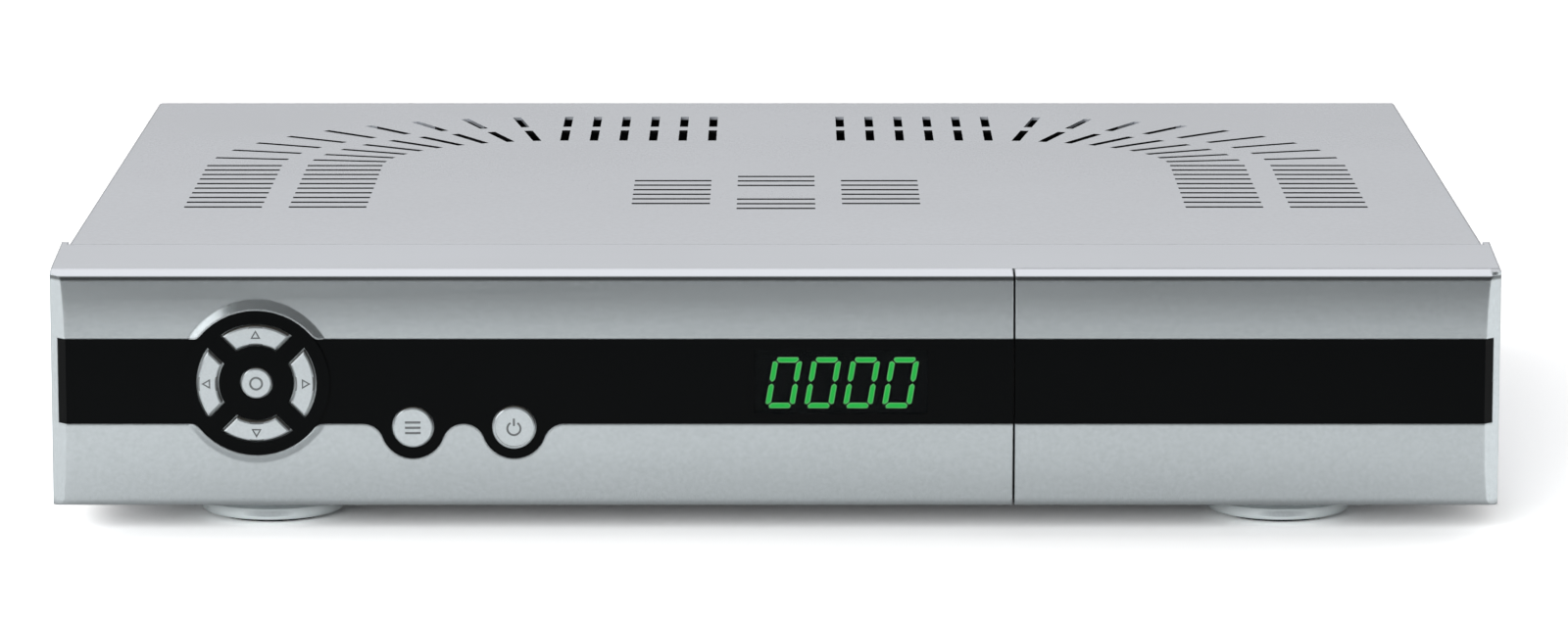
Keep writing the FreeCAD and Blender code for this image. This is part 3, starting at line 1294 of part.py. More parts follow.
def shell_socket(label, across, wide, low, tall, front, back, faces_rear):
    """A folded metal socket with an inner tongue, solid at its blind end."""
    socket = sub_part(label)
    wall = "0.4"
    block(socket, "shell", around(across, wide), (front, back), (low, "%s + %s" % (low, tall)))
    blind = "3"
    hollow = (front + " + " + blind, back + " + 1") if faces_rear else (front + " - 1", back + " - " + blind)
    block(socket, "mouth", around(across, "%s - 2 * %s" % (wide, wall)), hollow,
          ("%s + %s" % (low, wall), "%s + %s - %s" % (low, tall, wall)), cut=True)
    inset = "1.2"
    tongue = (front + " + 2", back + " - " + inset) if faces_rear else (front + " + " + inset, back + " - 2")
    block(socket, "tongue", around(across, "%s - 2.6" % wide), tongue,
          ("%s + %s / 2 + 0.1" % (low, tall), "%s + %s / 2 + 1.7" % (low, tall)))
    leg = ("%s + 4" % front, "%s + 8" % front) if faces_rear else (back + " - 8", back + " - 4")
    if low != BOARD_TOP:
        block(socket, "legs", around(across, "%s - 2" % wide), leg, (BOARD_TOP, low + " + 0.3"))
    return socket


def make_board_sockets():
    """Network, video, data and optical sockets in a row on the main board."""
    made = []
    name, across, wide, low, tall = BOARD_SOCKETS[0]
    network = sub_part("ethernet_socket")
    block(network, "case", around(across, wide), ("rear_face - 21", NOSE), on_board(tall))
    block(network, "mouth", around(across, "11.9"), ("rear_face - 14", NOSE + " + 1"),
          (low + " + 1.6", low + " + 9.2"), cut=True)
    block(network, "latch", around(across, "6.2"), ("rear_face - 9", NOSE + " + 1"),
          (low + " + 9", low + " + 11.6"), cut=True)
    made.append(network)
    for label, row in (("hdmi_socket", BOARD_SOCKETS[1]), ("rear_usb_socket", BOARD_SOCKETS[2])):
        name, across, wide, low, tall = row
        made.append(shell_socket(label, across, wide, low, tall, "rear_face - 13", NOSE, True))
    name, across, wide, low, tall = BOARD_SOCKETS[3]
    optical = sub_part("optical_socket")
    block(optical, "case", around(across, wide), ("rear_face - 12", NOSE), on_board(tall))
    block(optical, "mouth", around(across, "5.6"), ("rear_face - 7", NOSE + " + 1"),
          (low + " + 2.2", low + " + 7.8"), cut=True)
    made.append(optical)
    return made


def make_front_usb_socket():
    """Data socket that faces the bay behind the flap."""
    return shell_socket("front_usb_socket", "front_usb_x", USB_WIDE, BOARD_TOP + " + 0.6", "5.7",
                        "bay_wall + 0.4", "bay_wall + 15", False)


def rca_places():
    places = []
    for column in range(3):
        for row in range(2):
            places.append(("rca_x + %d * rca_pitch" % column, "rca_z + %d * rca_pitch" % row))
    return places


def make_rca_sockets():
    """Block of six cinch sockets: housing, coloured rings and metal sleeves."""
    housing = sub_part("rca_housing")
    right = "rca_x + 2 * rca_pitch + 5.5"
    block(housing, "block", ("rca_x - 6", right), ("rear_face - 16", "rear_face - rear_sheet"),
          (BOARD_TOP, "rca_z + rca_pitch + 6.5"))
    rings = sub_part("rca_rings")
    sleeves = sub_part("rca_sleeves")
    for number, centre in enumerate(rca_places()):
        rod(housing, "hub_%d" % number, "y", ("rear_face - 2", "rear_face"), centre,
            "rca_radius + 0.15", sides=10)
        rod(rings, "ring_%d" % number, "y", ("rear_face", "rear_face + rca_ring"), centre,
            "rca_radius + 1.25", sides=10)
        rod(rings, "core_%d" % number, "y", ("rear_face + 1", "rear_face + rca_reach - 1.5"), centre,
            "rca_radius - 1.3", sides=6)
        rod(rings, "contact_%d" % number, "y", ("rear_face + rca_ring + 1", "rear_face + rca_reach"),
            centre, "1.65", cut=True, sides=6)
        sleeve = ("rear_face + rca_ring", "rear_face + rca_reach")
        rod(sleeves, "sleeve_%d" % number, "y", sleeve, centre, "rca_radius", sides=10)
        rod(sleeves, "bore_%d" % number, "y", sleeve, centre, "rca_radius - 0.6", cut=True, sides=10)
    return [housing, rings, sleeves]


def make_scart_sockets():
    """Two 21-way video sockets: a slanted-corner groove round a contact block."""
    sockets = sub_part("scart_sockets")
    for number in range(2):
        up = "scart_z + %d * scart_pitch" % number
        block(sockets, "case_%d" % number, around("scart_x", "scart_wide"), ("rear_face - 26", NOSE),
              around(up, "scart_tall"))
        corner = "4"

        def slanted(wide, tall):
            half_w = "(%s) / 2" % wide
            half_t = "(%s) / 2" % tall
            return [("-" + half_w, "-" + half_t), (half_w, "-" + half_t),
                    (half_w, "%s - %s" % (half_t, corner)), ("%s - %s" % (half_w, corner), half_t),
                    ("-" + half_w, half_t)]
        extrude(sockets, "groove_%d" % number, "XZ", ("rear_face - 13", NOSE + " + 1"),
                [slanted("scart_wide - 2", "scart_tall - 2"),
                 slanted("scart_wide - 5.4", "scart_tall - 5.4")],
                cut=True, origin=("scart_x", up))
        extrude(sockets, "contact_rows_%d" % number, "XZ", ("rear_face - 8", NOSE + " + 1"),
                [rectangle(("-19", "17.4"), ("1", "3.6")), rectangle(("-17.1", "19.3"), ("-3.6", "-1"))],
                cut=True, origin=("scart_x", up))
    block(sockets, "web", around("scart_x", "20"), ("rear_face - 26", "rear_face - rear_sheet"),
          ("scart_z + scart_tall / 2", "scart_z + scart_pitch - scart_tall / 2"))
    block(sockets, "base", around("scart_x", "scart_wide - 6"), ("rear_face - 26", "rear_face - 8"),
          (BOARD_TOP, "scart_z - scart_tall / 2 + 0.1"))
    return sockets


# ---------------------------------------------------------------- card and module bay


def make_module_cage():
    """Guide cage for two conditional-access modules."""
    cage = sub_part("module_cage")
    block(cage, "frame", around("slot_x", "cage_wide"), ("cage_front", "cage_back"),
          (BOARD_TOP, "cage_top"))
    for number in (0, 1):
        low = "module_low + %d * module_pitch" % number
        block(cage, "slot_%d" % number, around("slot_x", "slot_wide"),
              ("cage_front - 1", "cage_back + 1"), (low, low + " + module_slot_tall"), cut=True)
    block(cage, "window", around("slot_x", "slot_wide - 12"), ("cage_front + 12", "cage_back - 8"),
          (BOARD_TOP + " - 1", "module_low + module_pitch + 1"), cut=True)
    return cage


def make_module_connectors():
    """Pin blocks at the blind end of the module slots."""
    pins = sub_part("module_connectors")
    block(pins, "block", around("slot_x", "cage_wide"), ("cage_back", "cage_back + 12"),
          (BOARD_TOP, "cage_top"))
    for number in (0, 1):
        middle = "module_low + %d * module_pitch + module_slot_tall / 2" % number
        block(pins, "pin_row_%d" % number, around("slot_x", "slot_wide - 6"),
              ("cage_back - 5", "cage_back + 1"), around(middle, "1.6"))
    return pins


def make_card_readers():
    """Two smart-card readers stacked on the module cage."""
    readers = sub_part("card_readers")
    block(readers, "frame", around("slot_x", "cage_wide"), ("cage_front", "reader_back"),
          ("cage_top", "reader_top"))
    for number in (0, 1):
        low = "card_low + %d * card_pitch" % number
        block(readers, "slot_%d" % number, around("slot_x", "slot_wide"),
              ("cage_front - 1", "reader_back - 6"), (low, low + " + card_slot_tall"), cut=True)
    return readers


# ---------------------------------------------------------------- mains and supply

INLET_BODY_WIDE = "20"
INLET_BODY_TALL = "11.5"
ROCKER_BODY_WIDE = "12.8"
ROCKER_BODY_TALL = "19"


def make_mains_inlet():
    """Two-pole mains inlet with a figure-of-eight mouth and its two pins."""
    inlet = sub_part("mains_inlet")
    block(inlet, "flange", around("inlet_x", "25"), ("rear_face", "rear_face + 1.8"),
          around("mains_z", "15.5"))
    block(inlet, "case", around("inlet_x", INLET_BODY_WIDE), ("rear_face - 14", "rear_face + 0.5"),
          around("mains_z", INLET_BODY_TALL))
    mouth = ("rear_face - 10", "rear_face + 3")
    pins = sub_part("inlet_pins")
    for number, sign in enumerate(("-", "+")):
        centre = ("inlet_x %s 4.3" % sign, "mains_z")
        rod(inlet, "mouth_%d" % number, "y", mouth, centre, "4.2", cut=True, sides=16)
        rod(pins, "pin_%d" % number, "y", ("rear_face - 10", "rear_face - 1"), centre, "1.2", sides=8)
    block(inlet, "mouth_middle", around("inlet_x", "4.3"), mouth, around("mains_z", "5.4"), cut=True)
    return [inlet, pins]


PIVOT_Y = "rear_face - 1.4"


def make_power_switch_housing():
    """Snap-in frame of the mains switch."""
    housing = sub_part("power_switch_housing")
    block(housing, "flange", around("rocker_x", "15"), ("rear_face", "rear_face + 1.6"),
          around("mains_z", "21.4"))
    block(housing, "case", around("rocker_x", ROCKER_BODY_WIDE), ("rear_face - 16", "rear_face + 0.5"),
          around("mains_z", ROCKER_BODY_TALL))
    block(housing, "mouth", around("rocker_x", "10.2"), ("rear_face - 7", "rear_face + 3"),
          around("mains_z", "17.4"), cut=True)
    rod(housing, "axle_bore", "x", around("rocker_x", ROCKER_BODY_WIDE + " + 1"),
        (PIVOT_Y, "mains_z"), "1.05", cut=True, sides=12)
    return housing


def make_power_rocker():
    """Rocker with two slanted faces and moulded axle ends, leaning to its off side."""
    rocker = sub_part("power_rocker")

    def turned(depth, up):
        """A corner of the rocker, leaned back about its axle."""
        away = "(%s) * cos(rocker_tilt) + (%s) * sin(rocker_tilt)" % (depth, up)
        rise = "(%s) * cos(rocker_tilt) - (%s) * sin(rocker_tilt)" % (up, depth)
        return "%s + %s" % (PIVOT_Y, away), "mains_z + %s" % rise
    extrude(rocker, "paddle", "YZ", around("rocker_x", "9.8"), [[
        turned("-1.6", "-2.4"), turned("1.6", "-7.8"), turned("3.9", "-7.8"), turned("2.9", "0"),
        turned("3.9", "7.8"), turned("1.6", "7.8"), turned("-1.6", "2.4")]])
    rod(rocker, "axle", "x", around("rocker_x", "12.2"), (PIVOT_Y, "mains_z"), "1", sides=12)
    return rocker


def make_mains_leads():
    """Flat twin lead from the inlet down to the supply board."""
    return flat_lead("mains_leads", "YZ", around("inlet_x", "7"), [
        ("rear_face - 14", "mains_z"), ("264", "mains_z"), ("264", BOARD_TOP)], "5", "2")


def make_power_board():
    """Mains supply board."""
    board = sub_part("power_board")
    block(board, "board", ("supply_left", "supply_right"), ("supply_front", "main_back"),
          (BOARD_LOW, BOARD_TOP))
    for number, centre in enumerate(SUPPLY_SCREWS):
        rod(board, "hole_%d" % number, "z", (BOARD_LOW + " - 1", BOARD_TOP + " + 1"), centre,
            "screw_hole", cut=True, sides=6)
    return board


def make_power_transformer():
    """Switching transformer: ferrite core round a wound bobbin."""
    transformer = sub_part("power_transformer")
    middle = "-124"
    depth = "205"
    block(transformer, "base", around(middle, "30"), around(depth, "28"), on_board("4"))
    block(transformer, "core_left", (middle + " - 17", middle + " - 11.5"), around(depth, "14"),
          (BOARD_TOP + " + 4", BOARD_TOP + " + 26"))
    block(transformer, "core_right", (middle + " + 11.5", middle + " + 17"), around(depth, "14"),
          (BOARD_TOP + " + 4", BOARD_TOP + " + 26"))
    for name, low, high in (("low", "4", "9"), ("top", "21", "26")):
        block(transformer, "core_" + name, around(middle, "34"), around(depth, "14"),
              (BOARD_TOP + " + " + low, BOARD_TOP + " + " + high))
    rod(transformer, "winding", "z", (BOARD_TOP + " + 8.5", BOARD_TOP + " + 21.5"),
        (middle, depth), "11", sides=16)
    return transformer


def make_power_capacitors():
    """Upright capacitors: one large on the mains side, four on the low side."""
    cans = sub_part("power_capacitors")
    rod(cans, "mains", "z", on_board("31"), ("-143", "244"), "9", sides=16)
    for number, (across, depth) in enumerate([
            ("-150", "160"), ("-137", "160"), ("-124", "160"), ("-111", "160")]):
        rod(cans, "low_%d" % number, "z", on_board("20"), (across, depth), "5", sides=10)
    return cans


def make_power_heatsinks():
    """Two finned plates for the switching devices."""
    plates = sub_part("power_heatsinks")
    for number, depth in enumerate(("182", "228")):
        block(plates, "plate_%d" % number, around("-126", "34"), around(depth, "2"), on_board("28"))
        fin = extrude(plates, "fin_%d" % number, "XY", on_board("28"),
                      [rectangle(("-17", "-15.6"), ("0.5", "6"))], origin=("-126", depth))
        pattern(plates, "fins_%d" % number, "LinearPattern", fin, (fin.Profile[0], ["H_Axis"]), "5", "8.15")
    return plates


def make_mains_fuse():
    """Glass fuse between two clips."""
    fuse = sub_part("mains_fuse")
    rod(fuse, "tube", "y", around("256", "20"), ("-112", BOARD_TOP + " + 6"), "2.6", sides=12)
    for number, depth in enumerate(("247.5", "264.5")):
        block(fuse, "clip_%d" % number, around("-112", "7"), around(depth, "4"), on_board("7"))
    return fuse


def make_power_harness():
    """Flat cable that bridges from the supply board to the main board."""
    return flat_lead("power_harness", "XZ", ("186", "202"), [
        ("-97", BOARD_TOP), ("-97", "22"), ("-74", "22"), ("-74", BOARD_TOP)], "6", "1.6")


# ---------------------------------------------------------------- assembly


def make_everything():
    make_front_bezel()
    make_display_window()
    make_flap_door()
    make_flap_window()
    for label, turn in ARROWS:
        make_arrow_key(label, turn)
    make_round_key("ok_key", "keypad_x", "keypad_z", "ok_radius", "ok_proud")
    make_round_key("menu_key", "menu_x", "round_key_z", "menu_radius", "menu_proud")
    make_round_key("power_key", "power_x", "round_key_z", "power_radius", "power_proud")
    make_key_switches()
    make_display_module()
    make_display_segments()
    make_front_board()
    make_front_cable()
    make_top_cover()
    make_base_tray()
    make_rear_panel()
    make_feet()
    make_foot_pads()
    make_cover_screws()
    make_front_screws()
    make_panel_screws()
    make_board_standoffs()
    make_board_screws()
    make_main_board()
    make_board_chips()
    make_processor_heatsink()
    make_tuner_modules()
    make_lnb_connectors()
    make_lnb_insulators()
    make_board_sockets()
    make_front_usb_socket()
    make_rca_sockets()
    make_scart_sockets()
    make_module_cage()
    make_module_connectors()
    make_card_readers()
    make_mains_inlet()
    make_power_switch_housing()
    make_power_rocker()
    make_mains_leads()
    make_power_board()
    make_power_transformer()
    make_power_capacitors()
    make_power_heatsinks()
    make_mains_fuse()
    make_power_harness()


def check_everything():
    """Stop before anything is written if a feature failed or a body is unsound."""
    for item in DOCUMENT.Objects:
        if "Invalid" in item.State or "Error" in item.State:
            raise RuntimeError("%s (%s) did not build: %s" % (item.Name, item.Label, item.State))
    for body in SUB_PARTS:
        if body.Shape.isNull() or not body.Shape.isValid() or not body.Shape.Solids:
            raise RuntimeError("%s is not a sound solid" % body.Label)


def export_everything():
    os.makedirs("parts", exist_ok=True)
    for body in SUB_PARTS:
        body.Shape.exportStep("parts/%s.step" % body.Label)


fill_sheet()
make_everything()
DOCUMENT.recompute()
check_everything()
export_everything()
print("%d sub-parts written" % len(SUB_PARTS))
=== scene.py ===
import json
import math

import bmesh
import bpy
from mathutils import Matrix, Vector


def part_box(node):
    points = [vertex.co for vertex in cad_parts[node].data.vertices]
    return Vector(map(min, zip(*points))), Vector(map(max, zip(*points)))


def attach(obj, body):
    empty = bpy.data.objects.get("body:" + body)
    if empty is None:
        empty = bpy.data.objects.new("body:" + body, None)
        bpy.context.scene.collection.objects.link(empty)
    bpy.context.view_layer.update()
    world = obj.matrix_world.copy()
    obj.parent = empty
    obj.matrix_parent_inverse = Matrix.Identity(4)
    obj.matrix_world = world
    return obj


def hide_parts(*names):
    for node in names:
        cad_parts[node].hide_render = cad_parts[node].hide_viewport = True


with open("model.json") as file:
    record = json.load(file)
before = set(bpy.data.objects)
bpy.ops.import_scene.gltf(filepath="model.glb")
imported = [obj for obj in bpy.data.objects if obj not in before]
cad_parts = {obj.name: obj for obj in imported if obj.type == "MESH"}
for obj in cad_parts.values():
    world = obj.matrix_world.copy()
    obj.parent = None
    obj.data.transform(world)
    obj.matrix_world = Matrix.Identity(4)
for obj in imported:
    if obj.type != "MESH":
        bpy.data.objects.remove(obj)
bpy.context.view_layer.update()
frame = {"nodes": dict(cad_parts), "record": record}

MM = 0.001
NODES = frame["nodes"]

# ------------------------------------------------------------------ places on the receiver, in mm
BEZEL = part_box("front_bezel")
FRONT = -148.85                    # the plane of the dark strip
MIDDLE_Z = (BEZEL[0][2] + BEZEL[1][2]) / 2         # in metres
KEYPAD = (-120.4, 37.5)            # across and up
ARROW_MIDDLE = 11.3                # arrow marks from the keypad's middle
MENU = (-84.2, 27.0)
POWER = (-60.7, 27.0)
DISPLAY = ((-4.9, 30.1), (35.3, 45.2))
FEET = [(side * 119.5, depth) for side in (-1, 1) for depth in (-112.85, 105.15)]
AERIALS = [(-76.0, 23.4), (-56.0, 23.4), (-30.0, 23.4), (-10.0, 23.4)]
CINCH = [(79.0 + 14.0 * column, 24.0 + 14.0 * row) for row in (0, 1) for column in (0, 1, 2)]
PANEL = 139.75                     # outer face of the rear panel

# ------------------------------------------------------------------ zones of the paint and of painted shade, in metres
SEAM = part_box("flap_door")[0][0] - 0.2 * MM        # middle of the gap beside the flap
SEAM_HALF = 0.0009
SEAM_START = -0.1440               # the gap is painted dark, as shade, behind this depth
SEAM_TOP = 0.0615
KEY_WALLS = 0.12                   # walls that face sideways are painted dark, as shade, nearer the middle than this
RIM_START = (0.0611, 0.0616)       # heights over which the shade under the top rim comes in
RIM_END = (0.0621, 0.0623)
CHIN_EDGE = (0.0081, 0.0096)       # heights of the shaded lower edge
VENTS_WIDE = 0.160                 # half of the width and of the depth that the vents take up
VENTS_DEEP = 0.095
VENTS_LEVEL = 0.0615               # all vents lie above it
CINCH_EDGES = (0.072, 0.086, 0.100, 0.114)         # of the three columns of cinch sockets
CINCH_SPLIT = 0.031                # height between their two rows

# ------------------------------------------------------------------ colours
SILVER = (0.615, 0.668, 0.690)
COVER_SILVER = (0.565, 0.592, 0.640)
SILVER_METAL = 0.9
LEVEL_METAL = 0.6                  # of the same paint on level faces
COVER_METAL = 0.5
KEY_METAL = 0.8
CUT_METAL = 0.1
RIM_SHADE = 0.30                   # of silver, under the top rim
CHIN_SHADE = 0.60                  # of silver, along the lower edge
FOOT_SHADE = 0.92                  # of silver, at the front of a foot and where it turns away
# painted highlight: of silver, where a foot's wall turns away from the front
FOOT_HIGHLIGHT = 1.48
BLACK = (0.0014, 0.0018, 0.0020)
# painted shade in the gaps of the front
GAP_SHADE = (0.02, 0.021, 0.022)
# painted shade on the cut walls of the vents
VENT_SHADE = (0.006, 0.0062, 0.0065)
# unpainted plastic down the sides of the keys, made dark as painted shade
BARE_PLASTIC_SHADED = (0.12, 0.105, 0.085)
CINCH_RED = (0.50, 0.02, 0.02)
CINCH_UPPER = ((0.75, 0.50, 0.02), (0.75, 0.75, 0.72), CINCH_RED)
CINCH_LOWER = ((0.02, 0.28, 0.06), (0.02, 0.06, 0.42), CINCH_RED)
PANE_ALPHA = 0.35
GLOW = 1.0


# ------------------------------------------------------------------ node helpers
def principled(name, colour, roughness, metallic=0.0, specular=0.5):
    """A new material with one Principled shader set to plain values."""
    material = bpy.data.materials.new(name)
    material.use_nodes = True
    shader = material.node_tree.nodes["Principled BSDF"]
    shader.inputs["Base Color"].default_value = (*colour, 1)
    shader.inputs["Roughness"].default_value = roughness
    shader.inputs["Metallic"].default_value = metallic
    shader.inputs["Specular IOR Level"].default_value = specular
    return material, shader


def feed(tree, socket, value):
    """Link a socket to another one, or set it to a number or a colour."""
    if isinstance(value, bpy.types.NodeSocket):
        tree.links.new(value, socket)
    elif isinstance(value, tuple):
        socket.default_value = (*value, 1)
    elif value is not None:
        socket.default_value = value


def noise_node(tree, scale, detail=2.0):
    """Noise in object coordinates."""
    noise = tree.nodes.new("ShaderNodeTexNoise")
    noise.inputs["Scale"].default_value = scale
    noise.inputs["Detail"].default_value = detail
    place = tree.nodes.new("ShaderNodeTexCoord").outputs["Object"]
    tree.links.new(place, noise.inputs["Vector"])
    return noise.outputs["Fac"]


def ramp(tree, factor, stops, stepped=False):
    """A colour ramp from stops of (position, colour)."""
    node = tree.nodes.new("ShaderNodeValToRGB")
    while len(node.color_ramp.elements) < len(stops):
        node.color_ramp.elements.new(0.5)
    for element, (place, colour) in zip(node.color_ramp.elements, stops):
        element.position = place
        element.color = (*colour, 1)
    if stepped:
        node.color_ramp.interpolation = "CONSTANT"
    tree.links.new(factor, node.inputs["Fac"])
    return node.outputs["Color"]


def grey(*stops):
    """Ramp stops from pairs of position and grey level."""
    return [(place, (level, level, level)) for place, level in stops]


def spread(tree, factor, low, high, start=0.3, end=0.7):
    """A number between low and high as the factor goes from start to end."""
    node = tree.nodes.new("ShaderNodeMapRange")
    for socket, value in zip(("From Min", "From Max", "To Min", "To Max"),
                             (start, end, low, high)):
        node.inputs[socket].default_value = value
    tree.links.new(factor, node.inputs["Value"])
    return node.outputs["Result"]


def maths(tree, operation, first, second=None):
    """A Math node of two sockets or numbers."""
    node = tree.nodes.new("ShaderNodeMath")
    node.operation = operation
    for socket, value in zip(node.inputs, (first, second)):
        feed(tree, socket, value)
    return node.outputs["Value"]


def over(tree, value, limit):
    """1 where a value is over a limit, else 0."""
    return maths(tree, "GREATER_THAN", value, limit)


def under(tree, value, limit):
    """1 where a value is under a limit, else 0."""
    return maths(tree, "LESS_THAN", value, limit)


def near(tree, value, reach, middle=0.0):
    """1 where a value lies within reach of a middle, else 0."""
    return under(tree, maths(tree, "ABSOLUTE", maths(tree, "SUBTRACT", value, middle)), reach)


def every(tree, first, *others):
    """The product of masks or numbers."""
    for other in others:
        first = maths(tree, "MULTIPLY", first, other)
    return first


def split(tree, vector):
    """The X, Y and Z of a vector."""
    node = tree.nodes.new("ShaderNodeSeparateXYZ")
    tree.links.new(vector, node.inputs["Vector"])
    return [node.outputs[axis] for axis in "XYZ"]


def coordinates(tree, space="Object"):
    """The X, Y and Z of the place that is shaded."""
    return split(tree, tree.nodes.new("ShaderNodeTexCoord").outputs[space])


def facing(tree, axis):
    """How squarely a surface faces along an axis, from 0 to 1."""
    normal = tree.nodes.new("ShaderNodeNewGeometry").outputs["Normal"]
    return maths(tree, "ABSOLUTE", split(tree, normal)["XYZ".index(axis)])


def mixed(tree, factor, first, second):
    """A colour between two colours or colour sockets."""
    node = tree.nodes.new("ShaderNodeMix")
    node.data_type = "RGBA"
    tree.links.new(factor, node.inputs["Factor"])
    feed(tree, node.inputs["A"], first)
    feed(tree, node.inputs["B"], second)
    return node.outputs["Result"]


def coloured(tree, kind, colour):
    """A shader of a kind that has little more than a colour."""
    node = tree.nodes.new(kind)
    feed(tree, node.inputs["Color"], colour)
    return node.outputs[0]


def chosen(tree, factor, first, second):
    """The second shader where the factor is 1."""
    node = tree.nodes.new("ShaderNodeMixShader")
    tree.links.new(factor, node.inputs["Fac"])
    tree.links.new(first, node.inputs[1])
    tree.links.new(second, node.inputs[2])
    return node.outputs["Shader"]


def shade(colour, factor):
    """A colour made darker or lighter, no channel over 1."""
    return tuple(min(1.0, channel * factor) for channel in colour)


# ------------------------------------------------------------------ materials
CLOUD = 14                         # scale of the slow change in roughness
RELIEF_DEPTH = 0.2 * MM


def grained(name, colour, roughness, metallic=0.0, grain=900, contrast=0.06, relief=0.02,
            rough_spread=0.05, specular=0.5, edge=0.0, dress=None):
    """A finish with fine variation in colour, roughness and relief."""
    material, shader = principled(name, colour, roughness, metallic, specular)
    tree = material.node_tree
    fine = noise_node(tree, grain, 3.0)
    broad = noise_node(tree, CLOUD)
    colours = ramp(tree, fine, [(0.3, shade(colour, 1 - contrast)),
                                (0.7, shade(colour, 1 + contrast))])
    if dress:
        colours = dress(tree, shader, colours)
    tree.links.new(colours, shader.inputs["Base Color"])
    tree.links.new(spread(tree, broad, roughness - rough_spread, roughness + rough_spread),
                   shader.inputs["Roughness"])
    normal = None
    if edge:
        bevel = tree.nodes.new("ShaderNodeBevel")
        bevel.samples = 4
        bevel.inputs["Radius"].default_value = edge
        normal = bevel.outputs["Normal"]
    if relief:
        bump = tree.nodes.new("ShaderNodeBump")
        bump.inputs["Strength"].default_value = relief
        bump.inputs["Distance"].default_value = RELIEF_DEPTH
        tree.links.new(fine, bump.inputs["Height"])
        if normal:
            tree.links.new(normal, bump.inputs["Normal"])
        normal = bump.outputs["Normal"]
    if normal:
        tree.links.new(normal, shader.inputs["Normal"])
    return material


def vent_wall_shade(tree, shader, colours):
    """Painted shade on the cut metal walls of the vents, nearly black and barely metallic."""
    across, along, up = coordinates(tree)
    cut = every(tree, under(tree, facing(tree, "Z"), 0.5), near(tree, across, VENTS_WIDE),
                near(tree, along, VENTS_DEEP), over(tree, up, VENTS_LEVEL))
    tree.links.new(spread(tree, cut, COVER_METAL, CUT_METAL, 0.0, 1.0),
                   shader.inputs["Metallic"])
    return mixed(tree, cut, colours, VENT_SHADE)


def front_paint_and_painted_light(tree, shader, colours):
    """Painted light on the front: a cooler tone on its level faces, painted shade at two edges and
    in its gaps.
    """
    across, along, up = coordinates(tree)
    level = spread(tree, facing(tree, "Z"), 0.0, 1.0, 0.75, 0.95)
    # painted shade: dark and not metallic on sideways walls near the middle and in the seam beside
    # the flap
    walls = every(tree, near(tree, across, KEY_WALLS), over(tree, facing(tree, "X"), 0.9))
    seam = every(tree, near(tree, across, SEAM_HALF, SEAM), over(tree, along, SEAM_START),
                 under(tree, up, SEAM_TOP))
    gap = maths(tree, "MAXIMUM", walls, seam)
    metal = spread(tree, level, SILVER_METAL, LEVEL_METAL, 0.0, 1.0)
    tree.links.new(every(tree, metal, maths(tree, "SUBTRACT", 1.0, gap)),
                   shader.inputs["Metallic"])
    # painted reflection: the front's level faces take the cover's cooler tone
    paint = mixed(tree, level, colours, COVER_SILVER)
    rim = every(tree, spread(tree, up, 0.0, 1.0, *RIM_START), spread(tree, up, 1.0, 0.0, *RIM_END))
    paint = mixed(tree, rim, paint, shade(SILVER, RIM_SHADE))
    chin = spread(tree, up, 1.0, 0.0, *CHIN_EDGE)
    paint = mixed(tree, chin, paint, shade(SILVER, CHIN_SHADE))
    return mixed(tree, gap, paint, GAP_SHADE)


def foot_highlight_paint(tree, shader, colours):
    """A painted highlight: a foot a little paler where its wall turns away from the front."""
    painted_highlight = spread(tree, facing(tree, "Y"), 1.0, 0.0, 0.93, 0.99)
    return mixed(tree, painted_highlight, colours, shade(SILVER, FOOT_HIGHLIGHT))


def bare_shaded_sides(tree, shader, colours):
    """Paint on the front of a key; unpainted plastic down its sides, made dark as painted shade.
    """
    side = under(tree, facing(tree, "Y"), 0.4)
    tree.links.new(spread(tree, side, KEY_METAL, 0.0, 0.0, 1.0), shader.inputs["Metallic"])
    return mixed(tree, side, colours, BARE_PLASTIC_SHADED)


def cinch_colours(tree, shader, colours):
    """Yellow, white and red above; green, blue and red below."""
    across, along, up = coordinates(tree)
    start, end = CINCH_EDGES[0], CINCH_EDGES[-1]
    place = spread(tree, across, 0.0, 1.0, start, end)
    steps = [(edge - start) / (end - start) for edge in CINCH_EDGES[:-1]]
    rows = [ramp(tree, place, list(zip(steps, row)), stepped=True)
            for row in (CINCH_LOWER, CINCH_UPPER)]
    return mixed(tree, over(tree, up, CINCH_SPLIT), *rows)


def lit(name, colour):
    """A segment that glows, a little uneven like a lamp behind a diffuser."""
    material, shader = principled(name, shade(colour, 0.3), 0.5, 0.0, 0.1)
    tree = material.node_tree
    tree.links.new(ramp(tree, noise_node(tree, 900), [(0.3, shade(colour, 0.92)), (0.7, colour)]),
                   shader.inputs["Emission Color"])
    shader.inputs["Emission Strength"].default_value = GLOW
    return material


def smoked_pane():
    """Thin dark plastic that lets the display show through."""
    material, shader = principled("smoked_pane", BLACK, 0.12, 0.0, 0.10)
    tree = material.node_tree
    tree.links.new(ramp(tree, noise_node(tree, 60),
                        [(0.3, shade(BLACK, 2.2)), (0.7, shade(BLACK, 2.4))]),
                   shader.inputs["Base Color"])
    shader.inputs["Alpha"].default_value = PANE_ALPHA
    return material


